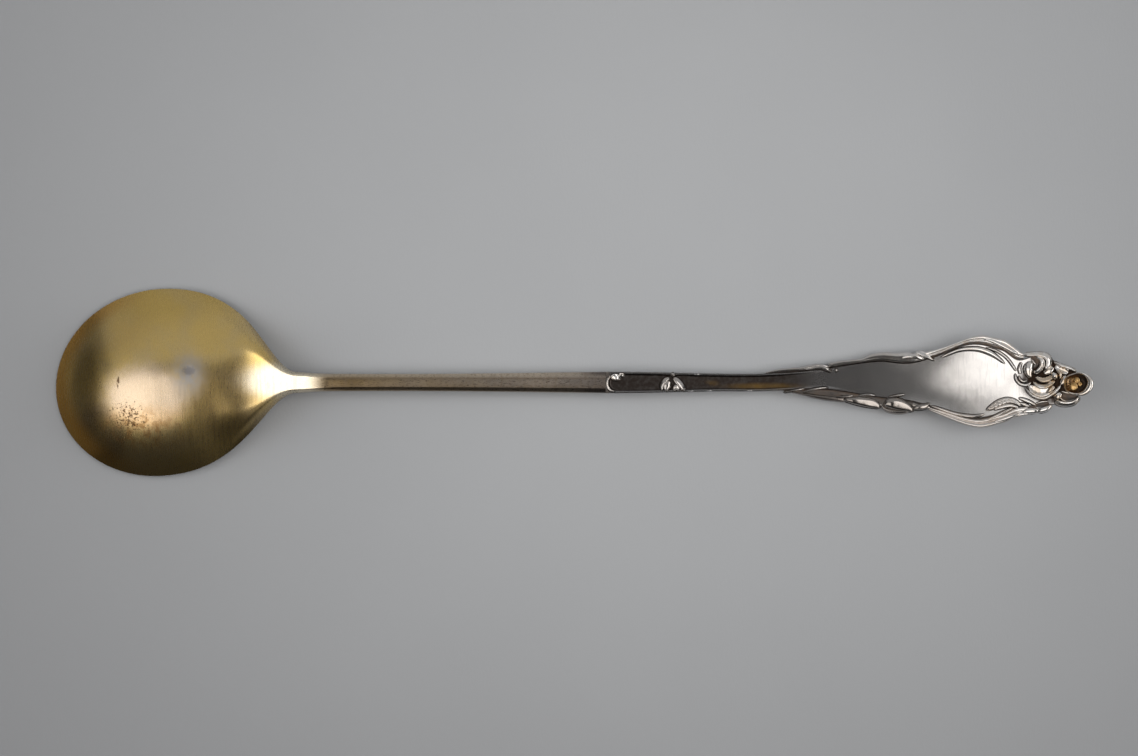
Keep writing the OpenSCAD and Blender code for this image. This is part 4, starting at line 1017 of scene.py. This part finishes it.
def paper():
    """Grey paper with a painted pool of light, paler around the part, and painted shade in zones that only
    the metal mirrors.
    """
    s = Shader("grey_paper")
    cloudy = s.noise(60, detail=2.0)
    fibre = s.noise(0.5, (1, 0.4, 1), 4.0, 0.65)
    along = s.axis("X")
    across = s.axis("Y")
    color = s.blend(s.step(cloudy, 0.3, 0.7), (0.309, 0.314, 0.321), (0.319, 0.324, 0.331))
    color = s.blend(s.step(fibre, 0.66, 0.78, 0.0, 0.3), color, (0.25, 0.25, 0.255))
    # Painted pool of light: the paper darkens towards its edges
    color = s.blend(s.spot(20, 28, 230, 220), (0.16, 0.162, 0.166), color)
    # Painted shade that only the metal mirrors, beside and below the part
    beside_part = s.times(s.step(across, -0.003, -0.03), s.step(along, 0.06, -0.01, 0.5, 1.0))
    clear_of_heel = s.step(s.spot(-40, -12, 15, 28), 0.0, 0.4, 1.0, 0.0)
    beside_part = s.times(beside_part, clear_of_heel)
    beside_bowl = s.times(s.step(across, -0.002, -0.012), s.step(along, -0.053, -0.064))
    far_below = s.step(across, -0.12, -0.22)
    shaded = s.math("MAXIMUM", s.math("MAXIMUM", beside_part, beside_bowl), far_below)
    mirrored = s.node("LightPath").outputs["Is Glossy Ray"]
    color = s.blend(s.times(mirrored, shaded), color, (0.01, 0.01, 0.01))
    return s.surface(color, 0.85, s.bump(fibre, 0.03), 0.0)


RELIEF = [
    "collar_leaf", "bud_left", "bud_right",
    "upper_leaf_near", "upper_leaf_mid", "upper_border", "upper_rib",
    "lower_leaf_near", "lower_leaf_mid", "lower_bud", "lower_tip", "lower_border", "lower_rib", "curl_leaf",
    "shoulder_leaf", "round_petal", "scroll_petal", "fall_petal", "heart_petal", "lower_petal"]

bowl().build("gilt_bowl", gilt_bowl())
stem().build("gilt_stem", gilt_stem())
handle().build("silver_plate", silver_plate())
polished = silver_relief()
for name in RELIEF:
    relief(name).build("silver_relief", polished)
throat_cup().build("silver_relief", polished)
stamens().build("gilt_stamen", gilt_stamens())


# Studio: grey paper, softboxes, a strip and two pale walls that the metal mirrors, two low lamps that give
# the paper its light and shadows and aren't mirrored, and a card that is only mirrored

FLOOR_REACH = 3
WARM = (1, 0.965, 0.93)
COOL = (0.97, 0.985, 1)
WHITE = (1, 1, 1)
ROOM_TONE = (0.03, 0.03, 0.03, 1)
BACKDROP_TONE = (0.39, 0.39, 0.4, 1)


def floor():
    corners = [(-1, -1), (1, -1), (1, 1), (-1, 1)]
    mesh = bpy.data.meshes.new("paper_sheet")
    mesh.from_pydata([(x * FLOOR_REACH, y * FLOOR_REACH, 0) for x, y in corners], [], [(0, 1, 2, 3)])
    mesh.materials.append(paper())
    obj = bpy.data.objects.new("paper_sheet", mesh)
    bpy.context.scene.collection.objects.link(obj)


def lamp(name, place, target, size, radiance, color, mirrored=True, lights_matt=True):
    """Rectangular lamp facing a target. It can be left out of reflections, or be in them alone."""
    data = bpy.data.lights.new(name, "AREA")
    data.shape = "RECTANGLE"
    data.size, data.size_y = size
    data.energy = radiance * math.pi * size[0] * size[1]
    data.color = color
    obj = bpy.data.objects.new(name, data)
    obj.location = place
    obj.visible_camera = False
    obj.visible_glossy = mirrored
    obj.visible_diffuse = lights_matt
    obj.rotation_euler = (Vector(target) - Vector(place)).to_track_quat("-Z", "Y").to_euler()
    bpy.context.scene.collection.objects.link(obj)
    return obj


def room():
    """Dim surroundings that look like the paper to the camera alone."""
    world = bpy.data.worlds.new("dim_room")
    world.use_nodes = True
    nodes = world.node_tree.nodes
    links = world.node_tree.links
    direct = nodes.new("ShaderNodeLightPath").outputs["Is Camera Ray"]
    tone = nodes.new("ShaderNodeMix")
    tone.data_type = "RGBA"
    tone.inputs[MIX_A].default_value = ROOM_TONE
    tone.inputs[MIX_B].default_value = BACKDROP_TONE
    links.new(direct, tone.inputs[MIX_FACTOR])
    links.new(tone.outputs[MIX_RESULT], nodes["Background"].inputs["Color"])
    bpy.context.scene.world = world


floor()
lamp("left_softbox", (-0.997, -0.62, 1.5), (-0.997, -0.62, 0), (1.58, 1.55), 1.36, WARM)
lamp("left_strip", (-1.12, 0.3, 1.5), (-1.12, 0.3, 0), (1.3, 0.29), 0.55, WARM)
lamp("right_softbox", (0.889, -0.2, 1.5), (0.889, -0.2, 0), (0.82, 1.99), 2.2, WARM)
lamp("pale_wall", (0.3, 1.17, 0.75), (0.3, 0, -0.39), (3.8, 2.09), 0.376, WHITE)
lamp("left_low", (-0.8, 0.075, 0.4), (0, 0, 0), (0.6, 0.6), 6.3, COOL, mirrored=False)
lamp("right_low", (0.8, 0.075, 0.4), (0, 0, 0), (0.6, 0.6), 6.3, COOL, mirrored=False)
lamp("heel_card", (0.57, -0.66, 0.55), (-0.06, -0.01, 0), (0.75, 1.0), 0.28, WARM, lights_matt=False)
lamp("left_wall", (-2.0, -0.4, 0.28), (0, -0.4, 0.28), (3.6, 0.55), 0.14, WHITE)
room()

# Camera straight above: the frame's width is that at the middle height of the part, in metres
CAMERA_HEIGHT = 0.9
PART_MIDDLE = 0.003
FRAME_WIDTH = 0.22342
FRAME_X, FRAME_Y = -0.00049, 0.00087
SENSOR_WIDTH = 36
camera_data = bpy.data.cameras.new("camera")
camera_data.sensor_width = SENSOR_WIDTH
camera_data.lens = SENSOR_WIDTH * (CAMERA_HEIGHT - PART_MIDDLE) / FRAME_WIDTH
camera = bpy.data.objects.new("camera", camera_data)
camera.location = (FRAME_X, FRAME_Y, CAMERA_HEIGHT)
bpy.context.scene.collection.objects.link(camera)
bpy.context.scene.camera = camera
bpy.context.scene.view_settings.view_transform = "Standard"
